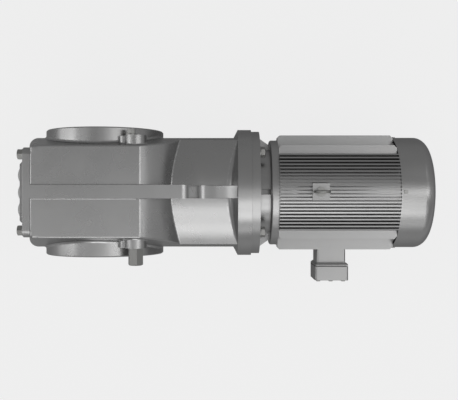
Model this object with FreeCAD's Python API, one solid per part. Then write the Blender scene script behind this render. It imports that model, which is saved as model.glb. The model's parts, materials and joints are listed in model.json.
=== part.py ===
import FreeCAD, Part
import math
import os

# Right-angle gear unit with its flange-mounted motor, in millimetres.
# Origin: centre of the hollow output shaft. +X runs to the motor, +Y across the unit
# along the output shaft, +Z up. The unit stands on its two feet.
# Three gear stages lie inside: a helical pair from the motor, a bevel pair that turns
# the drive through a right angle, and a helical pair to the hollow output shaft.

# Clearances used everywhere
running_gap = 0.3
flank_play = 0.28

# Gear case, main body
centre_height = 265.0
case_half_width = 131.0
case_wall = 12.0
case_rear = 174.0
case_front = 204.0
case_shoulder_z = 50.0
case_top_z = 182.5
case_top_rear = 137.0
case_top_front = 108.0
case_top_half_width = 104.0
case_corner = 22.0
pad_front_fillet = 9.0
pad_edge_fillet = 4.0

# Lower body and feet
waist_inset = 31.0
waist_top_z = -165.0
waist_slope = 22.0
foot_half_width = 148.0
foot_front = 255.0
foot_thick = 24.0
foot_hole_r = 11.0
foot_hole_rear = 145.0
foot_hole_front = 225.0
foot_hole_y = 127.0
foot_rib_thick = 14.0
foot_rib_x = (-115.0, 20.0, 185.0)
foot_rib_y = 60.0

# Motor-side section of the case
section_floor_z = -154.0
section_crown_z = 122.6
section_eave_z = 91.0
section_front = 318.6
section_corner = 24.0
roof_strip_rise = 1.5

# Case flange for the motor
cone_small_r = 118.0
cone_slope = 1.95
case_flange_back = 328.5
case_flange_face = 360.8
case_flange_r = 154.4

# Lifting web on top
web_half_thick = 15.0
web_top_z = 191.0
web_shoulder_x = 213.0
web_foot_x = 240.5
web_toe_x = 253.5
web_fillet = 18.0
lifting_hole_x = 182.0
lifting_hole_z = 157.0
lifting_hole_r = 17.0

# Output hubs, shaft and bearings
hub_r = 145.0
hub_face_y = 150.0
hub_rim_chamfer = 2.5
hub_bore_r = 90.0
hub_lip_r = 84.0
hub_inner_boss_r = 104.0
hub_inner_y = 96.0
hub_screw_circle = 240.0
hub_screw_count = 6
hub_screw_r = 7.0
hub_screw_depth = 26.0
hub_screw_start = 10.0
shaft_bore_r = 35.0
shaft_length = 300.0
shaft_seat_r = 50.0
shaft_gear_seat_r = 52.0
shaft_collar_r = 58.0
shaft_key_width = 20.0
shaft_key_depth = 4.9
output_bearing_inner_y = 100.0
output_bearing_width = 34.0
output_seal_width = 12.0
circlip_width = 3.0

# Gear trains
pressure_angle = math.radians(20.0)
dedendum = 1.25
output_teeth = 57
output_pinion_teeth = 18
output_module = 4.0
output_helix = math.radians(10.0)
output_gear_width = 58.0
output_gear_mid_y = -63.0
output_key_half = 8.0
gear_hub_r = 72.0
gear_rim_r = 98.0
gear_recess = 12.0
gear_hole_count = 6
intermediate_drop = 60.0
bevel_gear_teeth = 39
bevel_pinion_teeth = 15
bevel_module = 4.1
bevel_face = 26.0
bevel_twist = math.radians(6.0)
first_gear_teeth = 45
motor_pinion_teeth = 15
first_module = 2.0
first_helix = math.radians(12.0)
first_gear_width = 28.0

# Intermediate shaft and its bearings
inter_bearing_r = 50.0
inter_seat_r = 22.5
inter_bearing_y = 100.0
inter_bearing_width = 25.0
inter_boss_r = 62.0
inter_boss_y = 98.0
inter_collar_r = 30.0
bevel_seat_r = 28.0
bevel_shoulder_y = 14.0
bevel_hub_end_y = 60.0
bevel_hub_r = 46.0
inter_cap_thick = 6.0

# Bevel pinion shaft and its bearings
pinion_bearing_r = 45.0
pinion_seat_r = 22.5
pinion_bearing_width = 25.0
pinion_bearing_gap = 8.0
pinion_bearing_x = 229.0
pinion_boss_r = 57.0
pinion_lip_r = 39.0
partition_x = 236.0
partition_thick = 14.0
first_seat_r = 20.0
first_hub_r = 31.0
first_gear_x = 296.0
pinion_nut_flats = 46.0
pinion_nut_thick = 9.0

# Rear cover
cover_half_width = 110.0
cover_top_z = 45.0
cover_bottom_z = -226.0
cover_thick = 18.2
cover_gasket = 1.5
cover_raise = 14.3
cover_raise_half_width = 78.0
cover_raise_flank = 8.0
cover_corner = 18.0
cover_wave_pitch = 42.0
cover_wave_chord = 32.0
cover_wave_rise = 4.0
cover_bolt_y = 93.0
cover_bolt_rows = 4
cover_bolt_edge = 18.0
cover_bolt_r = 7.0
cover_bolt_flats = 24.0
cover_bolt_head = 12.0
cover_washer_r = 14.0
cover_washer = 3.0
cover_window_half_width = 74.0
cover_window_top_z = 30.0
cover_window_bottom_z = -208.0

# Plugs and breather
side_boss_x = 95.0
side_boss_z = 150.0
side_boss_r = 25.0
side_boss_y = 128.0
small_boss_x = 67.0
small_boss_z = 137.0
small_boss_r = 11.0
plug_shank_r = 8.0
plug_shank = 14.0
plug_flange_r = 13.0
plug_flange = 4.0
plug_head = 16.0
plug_flats = 17.0
filler_plug_x = 85.0
breather_flats = 31.0
breather_length = 39.5
breather_chamfer = 2.5
breather_turn = 15.0
level_plug_x = 105.0
level_plug_z = -128.0
drain_plug_x = 70.0
drain_plug_z = -214.0

# Motor drive-end shield
register_r = 115.0
register_depth = 4.0
motor_flange_r = 150.0
motor_flange_thick = 19.8
motor_bolt_circle = 265.0
motor_bolt_count = 4
motor_bolt_r = 7.0
motor_bolt_flats = 22.0
motor_bolt_head = 12.0
neck_r = 105.0
neck_wall = 7.0
shield_ring_x = 405.6
shield_ring_r = 128.6
shield_ring_round = 12.0
frame_x = 425.0
gusset_thick = 12.0
gusset_outer_r = 135.0
gusset_inner_r = 116.0

# Motor frame
frame_end = 704.0
frame_bore_r = 107.0
frame_wall = 10.0
fin_tip_r = 141.0
fin_pitch = 8.0
fin_count = 23
fin_thick = 3.4
side_fin_thick = 6.0
side_fin_z = (86.0, 40.0, 0.0, -40.0, -86.0)
side_fin_tip_y = (111.0, 138.0, 141.0, 138.0, 111.0)
side_fin_chamfer = 7.0
eye_pad_x = 518.5
eye_pad_half = 19.5
eye_pad_top_z = 143.0
eye_ring_r = 19.0
eye_bar_r = 3.2
eye_collar_r = 11.0
eye_collar = 6.0
eye_shank_r = 6.0
wire_hole_r = 14.0

# Motor inside
stator_x0 = 490.0
stator_x1 = 640.0
stator_bore_r = 70.0
winding_inner_r = 75.0
winding_outer_r = 102.0
winding_overhang = 34.0
air_gap = 0.5
rotor_core_bore_r = 24.0
motor_bearing_x = 368.0
motor_bearing_r = 45.0
motor_bearing_width = 23.0
motor_shaft_r = 20.0
motor_shaft_end_r = 19.0
motor_shaft_tip_x = 333.0
pinion_shank_r = 11.0
pinion_shank_depth = 40.0
motor_seal_width = 8.0
rear_bearing_x = 690.0
rear_bearing_r = 40.0
rear_bearing_width = 21.0
rear_shaft_r = 17.5
fan_seat_r = 15.0
shaft_end_x = 770.0

# Rear shield, fan and fan cover
rear_shield_r = 127.0
rear_shield_thick = 12.0
lug_clearance = 0.2
lug_half_width = 9.0
fan_x0 = 734.0
fan_x1 = 766.0
fan_r = 112.0
fan_hub_r = 24.0
fan_disc_r = 82.0
fan_blades = 9
fan_blade_thick = 3.0
fan_cover_x = 704.7
fan_cover_r = 135.2
fan_cover_wall = 2.0
fan_cover_bend_x = 761.0
fan_cover_dome_x = 789.5
fan_cover_dome_r = 103.0
fan_cover_end = 801.5
fan_screw_r = 5.0
fan_screw_head = 1.8
grille_rings = 5
grille_first_r = 22.0
grille_pitch = 15.5
grille_slot = 9.0
grille_spokes = 8
grille_spoke_width = 7.0

# Terminal box on the -Y side
terminal_x = 553.8
terminal_neck_half_x = 34.0
terminal_neck_half_z = 36.0
terminal_half_x = 39.0
terminal_half_z = 50.0
terminal_base_y = -171.0
terminal_split_y = -177.0
terminal_lid_y = -213.0
terminal_back_chamfer = 4.0
terminal_screw_r = 5.0
terminal_screw_head = 2.5
terminal_screw_edge = 9.0
terminal_wall = 4.0
terminal_corner = 6.0
terminal_gasket = 2.0
board_half = 24.0
post_pitch = 14.0
entry_flats = 22.0
entry_head = 8.0


# Small helpers

def vec(x, y, z):
    return FreeCAD.Vector(x, y, z)


def block(x0, x1, y0, y1, z0, z1):
    """A box between two corners."""
    return Part.makeBox(x1 - x0, y1 - y0, z1 - z0, vec(x0, y0, z0))


def rod(radius, start, end, axis, centre=(0.0, 0.0)):
    """A cylinder along X, Y or Z. centre is its place in the other two axes, in X, Y, Z order."""
    low, high = min(start, end), max(start, end)
    if axis == "X":
        return Part.makeCylinder(radius, high - low, vec(low, centre[0], centre[1]), vec(1, 0, 0))
    if axis == "Y":
        return Part.makeCylinder(radius, high - low, vec(centre[0], low, centre[1]), vec(0, 1, 0))
    return Part.makeCylinder(radius, high - low, vec(centre[0], centre[1], low), vec(0, 0, 1))


def ring(inner, outer, start, end, axis, centre=(0.0, 0.0)):
    """A plain ring along X, Y or Z."""
    return rod(outer, start, end, axis, centre).cut(rod(inner, start, end, axis, centre))


def closed_wire(points):
    """A closed wire. A point given as a pair of points is an arc's middle and end."""
    edges = []
    here = points[0]
    for item in points[1:] + [points[0]]:
        if isinstance(item, tuple):
            middle, end = item
            edges.append(Part.Arc(here, middle, end).toShape())
            here = end
        else:
            edges.append(Part.LineSegment(here, item).toShape())
            here = item
    return Part.Wire(edges)


def turned(points, axis, centre=(0.0, 0.0)):
    """A solid of revolution from (position, radius) points along X or Y; a nested pair is an arc."""
    def place(point):
        position, radius = point
        if axis == "X":
            return vec(position, centre[0] + radius, centre[1])
        return vec(centre[0] + radius, position, centre[1])

    spots = []
    for point in points:
        if isinstance(point[0], tuple):
            spots.append((place(point[0]), place(point[1])))
        else:
            spots.append(place(point))
    face = Part.Face(closed_wire(spots))
    if axis == "X":
        return face.revolve(vec(0, centre[0], centre[1]), vec(1, 0, 0), 360)
    return face.revolve(vec(centre[0], 0, centre[1]), vec(0, 1, 0), 360)


def prism_y(points, half_width):
    """An outline in XZ made into a slab across Y."""
    outline = [place_xz(item, -half_width) for item in points]
    return Part.Face(closed_wire(outline)).extrude(vec(0, 2 * half_width, 0))


def place_xz(item, y):
    if isinstance(item[0], tuple):
        return (vec(item[0][0], y, item[0][1]), vec(item[1][0], y, item[1][1]))
    return vec(item[0], y, item[1])


def prism_x(points, start, end):
    """An outline in YZ made into a bar along X."""
    outline = []
    for item in points:
        if isinstance(item[0], tuple):
            outline.append((vec(start, *item[0]), vec(start, *item[1])))
        else:
            outline.append(vec(start, *item))
    return Part.Face(closed_wire(outline)).extrude(vec(end - start, 0, 0))


def joined(shapes):
    """All the shapes fused, with the seams between flush faces removed."""
    return shapes[0].multiFuse(shapes[1:]).removeSplitter()


def hexagon(across_flats, start, end, axis, centre, turn=30.0):
    """A hexagonal prism along X, Y or Z. turn is the angle of its first corner, in degrees."""
    outline = []
    for u, v in around(6, across_flats / math.sqrt(3), turn):
        if axis == "X":
            outline.append(vec(start, centre[0] + u, centre[1] + v))
        elif axis == "Y":
            outline.append(vec(centre[0] + u, start, centre[1] + v))
        else:
            outline.append(vec(centre[0] + u, centre[1] + v, start))
    ways = {"X": vec(end - start, 0, 0), "Y": vec(0, end - start, 0), "Z": vec(0, 0, end - start)}
    return Part.Face(closed_wire(outline)).extrude(ways[axis])


def hex_bolt(across_flats, head, shank_r, length, seat, direction, centre, turn=30.0):
    """A hexagon bolt along X. Its head sits at seat and its shank runs the other way from direction."""
    top = hexagon(across_flats, seat, seat + direction * head, "X", centre, turn)
    return top.fuse(rod(shank_r, seat - direction * length, seat, "X", centre))


def around(count, circle_r, start=0.0):
    """Places of equally spaced holes on a circle."""
    spots = []
    for k in range(count):
        angle = math.radians(start + 360.0 * k / count)
        spots.append((circle_r * math.cos(angle), circle_r * math.sin(angle)))
    return spots


# Gear geometry

def involute(angle):
    return math.tan(angle) - angle


def half_tooth(radius, teeth, module):
    """Half the angle of a tooth at a radius, thinned for the play between flanks."""
    pitch = teeth * module / 2
    base = pitch * math.cos(pressure_angle)
    slope = math.acos(min(1.0, base / max(radius, base)))
    return math.pi / (2 * teeth) - flank_play / pitch + involute(pressure_angle) - involute(slope)


def gear_wire(teeth, module, turn, to_world):
    """The outline of a helical gear in one plane, tooth by tooth."""
    pitch = teeth * module / 2
    base = pitch * math.cos(pressure_angle)
    tip = pitch + module
    root = pitch - dedendum * module
    start = max(root, base)

    def spot(radius, angle):
        return to_world(radius * math.cos(angle), radius * math.sin(angle))

    points = []
    for k in range(teeth):
        centre = turn + 2 * math.pi * k / teeth
        middle = (start + tip) / 2
        foot = half_tooth(start, teeth, module)
        waist = half_tooth(middle, teeth, module)
        crest = half_tooth(tip, teeth, module)
        points.append(spot(root, centre - foot))
        if start > root:
            points.append(spot(start, centre - foot))
        points.append((spot(middle, centre - waist), spot(tip, centre - crest)))
        points.append(spot(tip, centre + crest))
        points.append((spot(middle, centre + waist), spot(start, centre + foot)))
        if start > root:
            points.append(spot(root, centre + foot))
    return closed_wire(points)


def helical_body(teeth, module, helix, turn, start, end, axis, centre):
    """Helical teeth as one solid. turn is the angle of a tooth at mid-width."""
    pitch = teeth * module / 2
    lean = (end - start) * math.tan(helix) / pitch / 2

    def world_at(position):
        if axis == "X":
            return lambda u, v: vec(position, centre[0] + u, centre[1] + v)
        return lambda u, v: vec(centre[0] + u, position, centre[1] - v)

    wires = [gear_wire(teeth, module, turn - lean, world_at(start))]
    wires.append(gear_wire(teeth, module, turn + lean, world_at(end)))
    return Part.makeLoft(wires, True, True)


def cone_spot(radius, height, aside, cone, scale, turn, axis, apex):
    """A point of a bevel tooth: radius and height up the tooth at the large end, then scaled to the apex."""
    reach = radius / math.tan(cone)
    out = (radius + height * math.cos(cone)) * scale
    along = (reach - height * math.sin(cone)) * scale
    side = aside * scale
    u = out * math.cos(turn) - side * math.sin(turn)
    v = out * math.sin(turn) + side * math.cos(turn)
    if axis == "X":
        return vec(apex[0] + along, apex[1] + u, apex[2] + v)
    return vec(apex[0] + u, apex[1] + along, apex[2] - v)


def bevel_gap(teeth, mate, twist, turn, axis, apex):
    """The space between two spiral bevel teeth, as a solid that cuts it from the blank."""
    cone = math.atan(teeth / mate)
    pitch = teeth * bevel_module / 2
    length = pitch / math.sin(cone)
    flat_pitch = pitch / math.cos(cone)
    flat_teeth = teeth / math.cos(cone)
    floor = flat_pitch - dedendum * bevel_module
    middle = flat_pitch
    brim = flat_pitch + 2.0 * bevel_module

    def gap_half(radius):
        return math.pi / flat_teeth - half_tooth(radius, flat_teeth, bevel_module)

    sections = []
    small = 1 - bevel_face / length
    for scale in (1.06, (1.06 + small * 0.9) / 2, small * 0.9):
        lean = turn + twist * (1 - scale) / (1 - small)

        def spot(radius, side):
            angle = side * gap_half(radius)
            height = radius * math.cos(angle) - flat_pitch
            return cone_spot(pitch, height, radius * math.sin(angle), cone, scale, lean, axis, apex)

        outline = [spot(floor, -1), spot(floor, 1), (spot(middle, 1), spot(brim, 1)), spot(brim, -1)]
        outline.append((spot(middle, -1), spot(floor, -1)))
        edges = []
        here = outline[0]
        for item in outline[1:]:
            if isinstance(item, tuple):
                edges.append(Part.Arc(here, item[0], item[1]).toShape())
                here = item[1]
            else:
                edges.append(Part.LineSegment(here, item).toShape())
                here = item
        sections.append(Part.Wire(edges))
    return Part.makeLoft(sections, True, True)


def bevel_rim(teeth, mate):
    """Corner points (along, radius) of a bevel gear's toothed rim, measured from the apex."""
    cone = math.atan(teeth / mate)
    pitch = teeth * bevel_module / 2
    length = pitch / math.sin(cone)
    small = 1 - bevel_face / length

    def corner(height, scale):
        along = (pitch / math.tan(cone) - height * math.sin(cone)) * scale
        return (along, (pitch + height * math.cos(cone)) * scale)

    tip, low = bevel_module, -2.2 * bevel_module
    return corner(low, small), corner(tip, small), corner(tip, 1.0), corner(low, 1.0)


# Places worked out from the sizes above
output_centres = (output_teeth + output_pinion_teeth) * output_module / 2
inter_z = -intermediate_drop
inter_x = math.sqrt(output_centres ** 2 - inter_z ** 2)
first_centres = (first_gear_teeth + motor_pinion_teeth) * first_module / 2
pinion_axis = (0.0, -first_centres)
apex = (inter_x, 0.0, inter_z)
foot_z = -centre_height
case_floor_z = foot_z + foot_thick
drum_r = math.hypot(case_top_front, case_top_z)
mesh_angle = math.atan2(-inter_z, inter_x)
pinion_bearing_end = pinion_bearing_x + 2 * pinion_bearing_width + pinion_bearing_gap
motor_flange_face = case_flange_face + motor_flange_thick
waist_half_width = case_half_width - waist_inset
cone_start = case_flange_back - (case_flange_r - cone_small_r) / cone_slope
frame_shell_r = frame_bore_r + frame_wall
terminal_seat_y = -frame_shell_r - 6
cover_face = -case_rear - cover_gasket - cover_thick


# Gear case

def case_side_outline(inset):
    """The main body seen from the side: rear wall, sloped top, drum and front wall."""
    radius = drum_r - inset
    shoulder = case_shoulder_z
    front = case_front - inset
    drum_low = math.sqrt(radius ** 2 - front ** 2)
    top = case_top_z - inset
    corner = math.sqrt(radius ** 2 - top ** 2)
    middle = (math.atan2(top, corner) + math.atan2(drum_low, front)) / 2
    return [
        (-case_rear + inset, case_floor_z + inset),
        (-case_rear + inset, shoulder),
        (-case_top_rear + inset, top),
        (corner, top),
        ((radius * math.cos(middle), radius * math.sin(middle)), (front, drum_low)),
        (front, case_floor_z + inset),
    ]


def case_end_outline(inset):
    """The main body seen along X: waist, upright sides and tapered top."""
    side = case_half_width - inset
    waist = waist_half_width - inset
    crown = case_top_half_width - inset
    low = case_floor_z + inset
    high = case_top_z - inset
    half = [(waist, low), (waist, waist_top_z - waist_slope), (side, waist_top_z), (side, case_shoulder_z),
            (crown, high)]
    return half + [(-y, z) for y, z in reversed(half)]


def side_half_width(z):
    """Half the case's width at a height. Its sides lean in above the shoulder."""
    taper = (case_half_width - case_top_half_width) / (case_top_z - case_shoulder_z)
    return case_half_width - taper * max(0.0, z - case_shoulder_z)


def section_outline(inset):
    """The motor-side section seen along X: the case's own sides under a curved roof."""
    side = case_half_width - inset
    eave_y = side_half_width(section_eave_z) - inset
    eave = section_eave_z - inset
    crown = section_crown_z - inset
    low = section_floor_z + inset
    return [(-side, low), (side, low), (side, case_shoulder_z), (eave_y, eave),
            ((0.0, crown), (-eave_y, eave)), (-side, case_shoulder_z)]


def is_rear_upright(edge):
    """Whether an edge is one of the case's rear corners, upright or on the slope above."""
    ends = [v.Point for v in edge.Vertexes]
    rear = all(p.x < -case_top_rear + 1 and abs(p.y) > waist_half_width - 1 for p in ends)
    return rear and abs(ends[0].z - ends[-1].z) > case_corner


def main_body():
    """The body with round rear corners and a softened rim around the flat pad on top."""
    outer = prism_y(case_side_outline(0.0), case_half_width + 1)
    outer = outer.common(prism_x(case_end_outline(0.0), -case_rear - 1, case_front + 1))
    body = outer.makeFillet(case_corner, [e for e in outer.Edges if is_rear_upright(e)])
    pad_edges = [e for e in body.Edges if all(v.Z > case_top_z - 0.1 for v in e.Vertexes)]
    front = [e for e in pad_edges if all(v.X > case_top_front - 0.1 for v in e.Vertexes)]
    body = body.makeFillet(pad_front_fillet, front)
    pad_edges = [e for e in body.Edges if all(v.Z > case_top_z - 0.1 for v in e.Vertexes)]
    rim = [e for e in pad_edges if any(v.X < case_top_front - pad_front_fillet for v in e.Vertexes)]
    return body.makeFillet(pad_edge_fillet, rim)


def section_solid():
    body = prism_x(section_outline(0.0), case_front - 3 * case_wall, section_front)
    lower = [e for e in body.Edges if all(v.Z < section_floor_z + 1 for v in e.Vertexes)
             and abs(e.Vertexes[0].X - e.Vertexes[-1].X) > case_wall]
    return body.makeFillet(section_corner, lower)


def web_solid():
    """The rib along the top, which ends in a slope down to the strip on the section's roof."""
    strip_z = section_crown_z + roof_strip_rise
    outline = [
        (-case_top_rear, case_top_z - case_wall),
        (-case_top_rear, web_top_z),
        (web_shoulder_x, web_top_z),
        (web_foot_x, strip_z),
        (web_toe_x, strip_z),
        (web_toe_x, strip_z - case_wall),
        (case_top_front, strip_z - case_wall),
    ]
    web = prism_y(outline, web_half_thick)
    bends = []
    for edge in web.Edges:
        across = abs(edge.Vertexes[0].Y - edge.Vertexes[-1].Y) > web_half_thick
        if across and min(abs(edge.Vertexes[0].X - x) for x in (web_shoulder_x, web_foot_x)) < 0.1:
            bends.append(edge)
    return web.makeFillet(web_fillet, bends)


def roof_strip():
    """A low band that carries the web's line along the curved roof to the flange."""
    start = web_foot_x - web_fillet
    raised = prism_x(section_outline(-roof_strip_rise), start, section_front)
    band = block(start, section_front, -web_half_thick, web_half_thick, section_eave_z, web_top_z)
    return raised.common(band)


def feet_solid():
    """The base slab, and the ribs that stiffen its overhang."""
    slab = block(-case_rear, foot_front, -foot_half_width, foot_half_width, foot_z, case_floor_z + 1)
    corners = [e for e in slab.Edges if abs(e.Vertexes[0].Z - e.Vertexes[1].Z) > 1]
    slab = slab.makeFillet(case_corner, corners)
    shapes = [slab]
    low, top = foot_z + 2, waist_top_z + 2
    for side in (-1, 1):
        root, tip = side * (waist_half_width - 2), side * (foot_half_width - 8)
        head = side * (case_half_width - 3)
        outline = [(root, low), (tip, low), (tip, case_floor_z + 4), (head, top), (root, top)]
        for x in foot_rib_x:
            shapes.append(prism_x(outline, x - foot_rib_thick / 2, x + foot_rib_thick / 2))
    root, tip, top = case_front - 4, foot_front - 6, section_floor_z + 2
    outline = [(root, low), (tip, low), (tip, case_floor_z + 4), (tip - case_wall, top), (root, top)]
    for y in (-foot_rib_y, foot_rib_y):
        shapes.append(prism_y(outline, foot_rib_thick / 2).translated(vec(0, y, 0)))
    return shapes


def hub_solid(side):
    """The round hub, from inside the case out to its machined face."""
    root = side * case_top_half_width * 0.9
    rim = [(root, 0.0), (root, hub_r), (side * (hub_face_y - hub_rim_chamfer), hub_r),
           (side * hub_face_y, hub_r - hub_rim_chamfer), (side * hub_face_y, 0.0)]
    return turned(rim, "Y")


def case_cavity():
    """The room inside the case, less the walls and bosses that stand in it."""
    main = prism_y(case_side_outline(case_wall), case_half_width)
    main = main.common(prism_x(case_end_outline(case_wall), -case_rear, case_front))
    lower = prism_x(section_outline(case_wall), case_front - 3 * case_wall, section_front + 2)
    room = main.fuse(lower)
    bosses = [block(partition_x, partition_x + partition_thick, -case_half_width, case_half_width,
                    section_floor_z, section_crown_z)]
    bosses.append(rod(pinion_boss_r, pinion_bearing_x - 2, pinion_bearing_end + 2, "X", pinion_axis))
    for side in (-1, 1):
        bosses.append(rod(hub_inner_boss_r, side * hub_inner_y, side * case_half_width, "Y"))
        bosses.append(rod(inter_boss_r, side * inter_boss_y, side * case_half_width, "Y", (inter_x, inter_z)))
    return room.cut(bosses[0].multiFuse(bosses[1:]))


def case_bores():
    """Everything that is bored, drilled or cut through the finished case."""
    cuts = [rod(register_r, section_front - 1, case_flange_face + 1, "X")]
    cuts.append(rod(pinion_bearing_r, pinion_bearing_x, pinion_bearing_end + 3, "X", pinion_axis))
    cuts.append(rod(pinion_lip_r, pinion_bearing_x - 3, pinion_bearing_x + 1, "X", pinion_axis))
    for side in (-1, 1):
        cuts.append(rod(hub_bore_r, side * output_bearing_inner_y, side * (hub_face_y + 1), "Y"))
        cuts.append(rod(hub_lip_r, side * (hub_inner_y - 1), side * (output_bearing_inner_y + 1), "Y"))
        for spot in around(hub_screw_count, hub_screw_circle / 2, hub_screw_start):
            floor = side * (hub_face_y - hub_screw_depth)
            cuts.append(rod(hub_screw_r, floor, side * (hub_face_y + 1), "Y", spot))
    inside = case_top_half_width - 2 * case_wall
    cuts.append(rod(plug_shank_r, inside, side_boss_y + 1, "Y", (filler_plug_x, side_boss_z)))
    cuts.append(rod(plug_shank_r, -inside, -side_boss_y - 1, "Y", (side_boss_x, side_boss_z)))
    blind = inter_bearing_y + inter_bearing_width
    cuts.append(rod(inter_bearing_r, -blind, -inter_boss_y + 1, "Y", (inter_x, inter_z)))
    cuts.append(rod(inter_bearing_r, inter_boss_y - 1, hub_face_y + 1, "Y", (inter_x, inter_z)))
    cuts.append(rod(plug_shank_r, case_half_width - 2 * case_wall, case_half_width + 1, "Y",
                    (level_plug_x, level_plug_z)))
    cuts.append(rod(plug_shank_r, -waist_half_width - 1, -waist_half_width + 2 * case_wall, "Y",
                    (drain_plug_x, drain_plug_z)))
    cuts.append(block(-case_rear - 1, -case_rear + case_wall + 1, -cover_window_half_width,
                      cover_window_half_width, cover_window_bottom_z, cover_window_top_z))
    for spot in cover_bolt_places():
        cuts.append(rod(cover_bolt_r, -case_rear - 1, -case_rear + case_wall - 1, "X", spot))
    for spot in around(motor_bolt_count, motor_bolt_circle / 2, 45):
        cuts.append(rod(motor_bolt_r, case_flange_back + 4, case_flange_face + 1, "X", spot))
    for x in (-foot_hole_rear, foot_hole_front):
        for y in (-foot_hole_y, foot_hole_y):
            cuts.append(rod(foot_hole_r, foot_z - 1, case_floor_z + 2, "Z", (x, y)))
    cuts.append(rod(lifting_hole_r, -web_half_thick - 1, web_half_thick + 1, "Y",
                    (lifting_hole_x, lifting_hole_z)))
    return cuts


def gear_case():
    """The casting: all its outer forms fused, then the room inside and every bore cut away."""
    flange = turned([(cone_start - case_wall, 0.0), (cone_start - case_wall, cone_small_r - case_wall),
                     (cone_start, cone_small_r), (case_flange_back, case_flange_r),
                     (case_flange_face, case_flange_r), (case_flange_face, 0.0)], "X")
    shapes = [main_body(), section_solid(), flange, web_solid(), roof_strip()] + feet_solid()
    for side in (-1, 1):
        shapes.append(hub_solid(side))
        shapes.append(rod(side_boss_r, side * 90, side * side_boss_y, "Y", (side_boss_x, side_boss_z)))
        shapes.append(rod(small_boss_r, side * 90, side * side_boss_y, "Y", (small_boss_x, small_boss_z)))
    body = joined(shapes)
    body = body.cut(case_cavity())
    return body.cut(case_bores()).removeSplitter()


# Rear cover

def cover_bolt_places():
    low = cover_bottom_z + cover_bolt_edge
    high = cover_top_z - cover_bolt_edge
    spots = []
    for k in range(cover_bolt_rows):
        z = low + (high - low) * k / (cover_bolt_rows - 1)
        spots += [(-cover_bolt_y, z), (cover_bolt_y, z)]
    return spots


def cover_plate(x0, x1, half_width, bottom, top, corner):
    """An upright plate across X with round corners."""
    plate = block(x0, x1, -half_width, half_width, bottom, top)
    edges = [e for e in plate.Edges if abs(e.Vertexes[0].X - e.Vertexes[1].X) > abs(x1 - x0) / 2]
    return plate.makeFillet(corner, edges)


def rear_cover_gasket():
    sheet = cover_plate(-case_rear - cover_gasket, -case_rear, cover_half_width, cover_bottom_z, cover_top_z,
                        cover_corner)
    cuts = [block(-case_rear - 9, -case_rear + 9, -cover_window_half_width, cover_window_half_width,
                  cover_window_bottom_z, cover_window_top_z)]
    for spot in cover_bolt_places():
        cuts.append(rod(cover_bolt_r + 1.5, -case_rear - 9, -case_rear + 9, "X", spot))
    return sheet.cut(cuts)


def rear_cover():
    """Bolted cover: a raised middle with sloped flanks and three broad upright waves."""
    seat = -case_rear - cover_gasket
    crest = cover_face - cover_raise
    valley = crest + cover_wave_rise
    low, high = cover_bottom_z + 14, cover_top_z - 8
    body = cover_plate(cover_face, seat, cover_half_width, cover_bottom_z, cover_top_z, cover_corner)
    raised = cover_plate(valley, cover_face + 2, cover_raise_half_width, low, high, cover_corner - 6)
    rim = [e for e in raised.Edges if all(v.X < valley + 0.1 for v in e.Vertexes)]
    shapes = [body, raised.makeChamfer(cover_raise_flank, rim)]
    wave_r = (cover_wave_chord ** 2 / 4 + cover_wave_rise ** 2) / (2 * cover_wave_rise)
    inset = cover_raise_flank
    layer = block(crest - 1, valley + 1, -cover_half_width, cover_half_width, low, high)
    for k in (-1, 0, 1):
        wave = rod(wave_r, low + inset, high - inset, "Z", (crest + wave_r, k * cover_wave_pitch))
        shapes.append(wave.common(layer))
    cuts = [rod(cover_bolt_r + 1.5, cover_face - 1, seat + 1, "X", spot) for spot in cover_bolt_places()]
    return joined(shapes).cut(cuts)


def rear_cover_bolts():
    """Hexagon bolts with captive washers."""
    seat = cover_face - cover_washer
    length = cover_washer + cover_thick + cover_gasket + case_wall - 3
    bolts = []
    for spot in cover_bolt_places():
        bolt = hex_bolt(cover_bolt_flats, cover_bolt_head, cover_bolt_r, length, seat, -1, spot, 0.0)
        bolts.append(joined([bolt, rod(cover_washer_r, seat, cover_face, "X", spot)]))
    return Part.makeCompound(bolts)


# Plugs and breather

def plug(side, face, x, z):
    """A screw plug with a flanged hexagon head."""
    shapes = [rod(plug_flange_r, side * face, side * (face + plug_flange), "Y", (x, z)),
              hexagon(plug_flats, side * (face + 1), side * (face + plug_head), "Y", (x, z)),
              rod(plug_shank_r, side * (face - plug_shank), side * (face + 1), "Y", (x, z))]
    return joined(shapes)


def breather_valve():
    """A tall hexagon body whose outer end is chamfered, with a threaded shank."""
    place = (side_boss_x, side_boss_z)
    face = -side_boss_y
    end = face - breather_length
    corner_r = breather_flats / math.sqrt(3) + 0.1
    body = hexagon(breather_flats, face, end, "Y", place, breather_turn)
    envelope = turned([(face, 0.0), (face, corner_r), (end + breather_chamfer, corner_r),
                       (end, corner_r - 2 * breather_chamfer), (end, 0.0)], "Y", place)
    return joined([body.common(envelope), rod(plug_shank_r, face - 1, face + plug_shank, "Y", place)])


# Output line

def hollow_output_shaft():
    half = shaft_length / 2
    inner = output_bearing_inner_y
    gear_end = output_gear_mid_y + output_gear_width / 2
    profile = [(-half, shaft_bore_r), (-half, shaft_seat_r), (-inner, shaft_seat_r),
               (-inner, shaft_gear_seat_r), (gear_end, shaft_gear_seat_r), (gear_end, shaft_collar_r),
               (inner, shaft_collar_r), (inner, shaft_seat_r), (half, shaft_seat_r), (half, shaft_bore_r)]
    shaft = turned(profile, "Y")
    way = block(-shaft_key_width / 2, shaft_key_width / 2, -half - 1, half + 1,
                0, shaft_bore_r + shaft_key_depth)
    return shaft.cut([way, output_key_block()])


def output_key_block():
    low = output_gear_mid_y - output_gear_width / 2
    high = low + output_gear_width
    seat = -shaft_gear_seat_r
    return block(-output_key_half, output_key_half, low + 4, high - 4, seat - 4, seat + 6)


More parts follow.
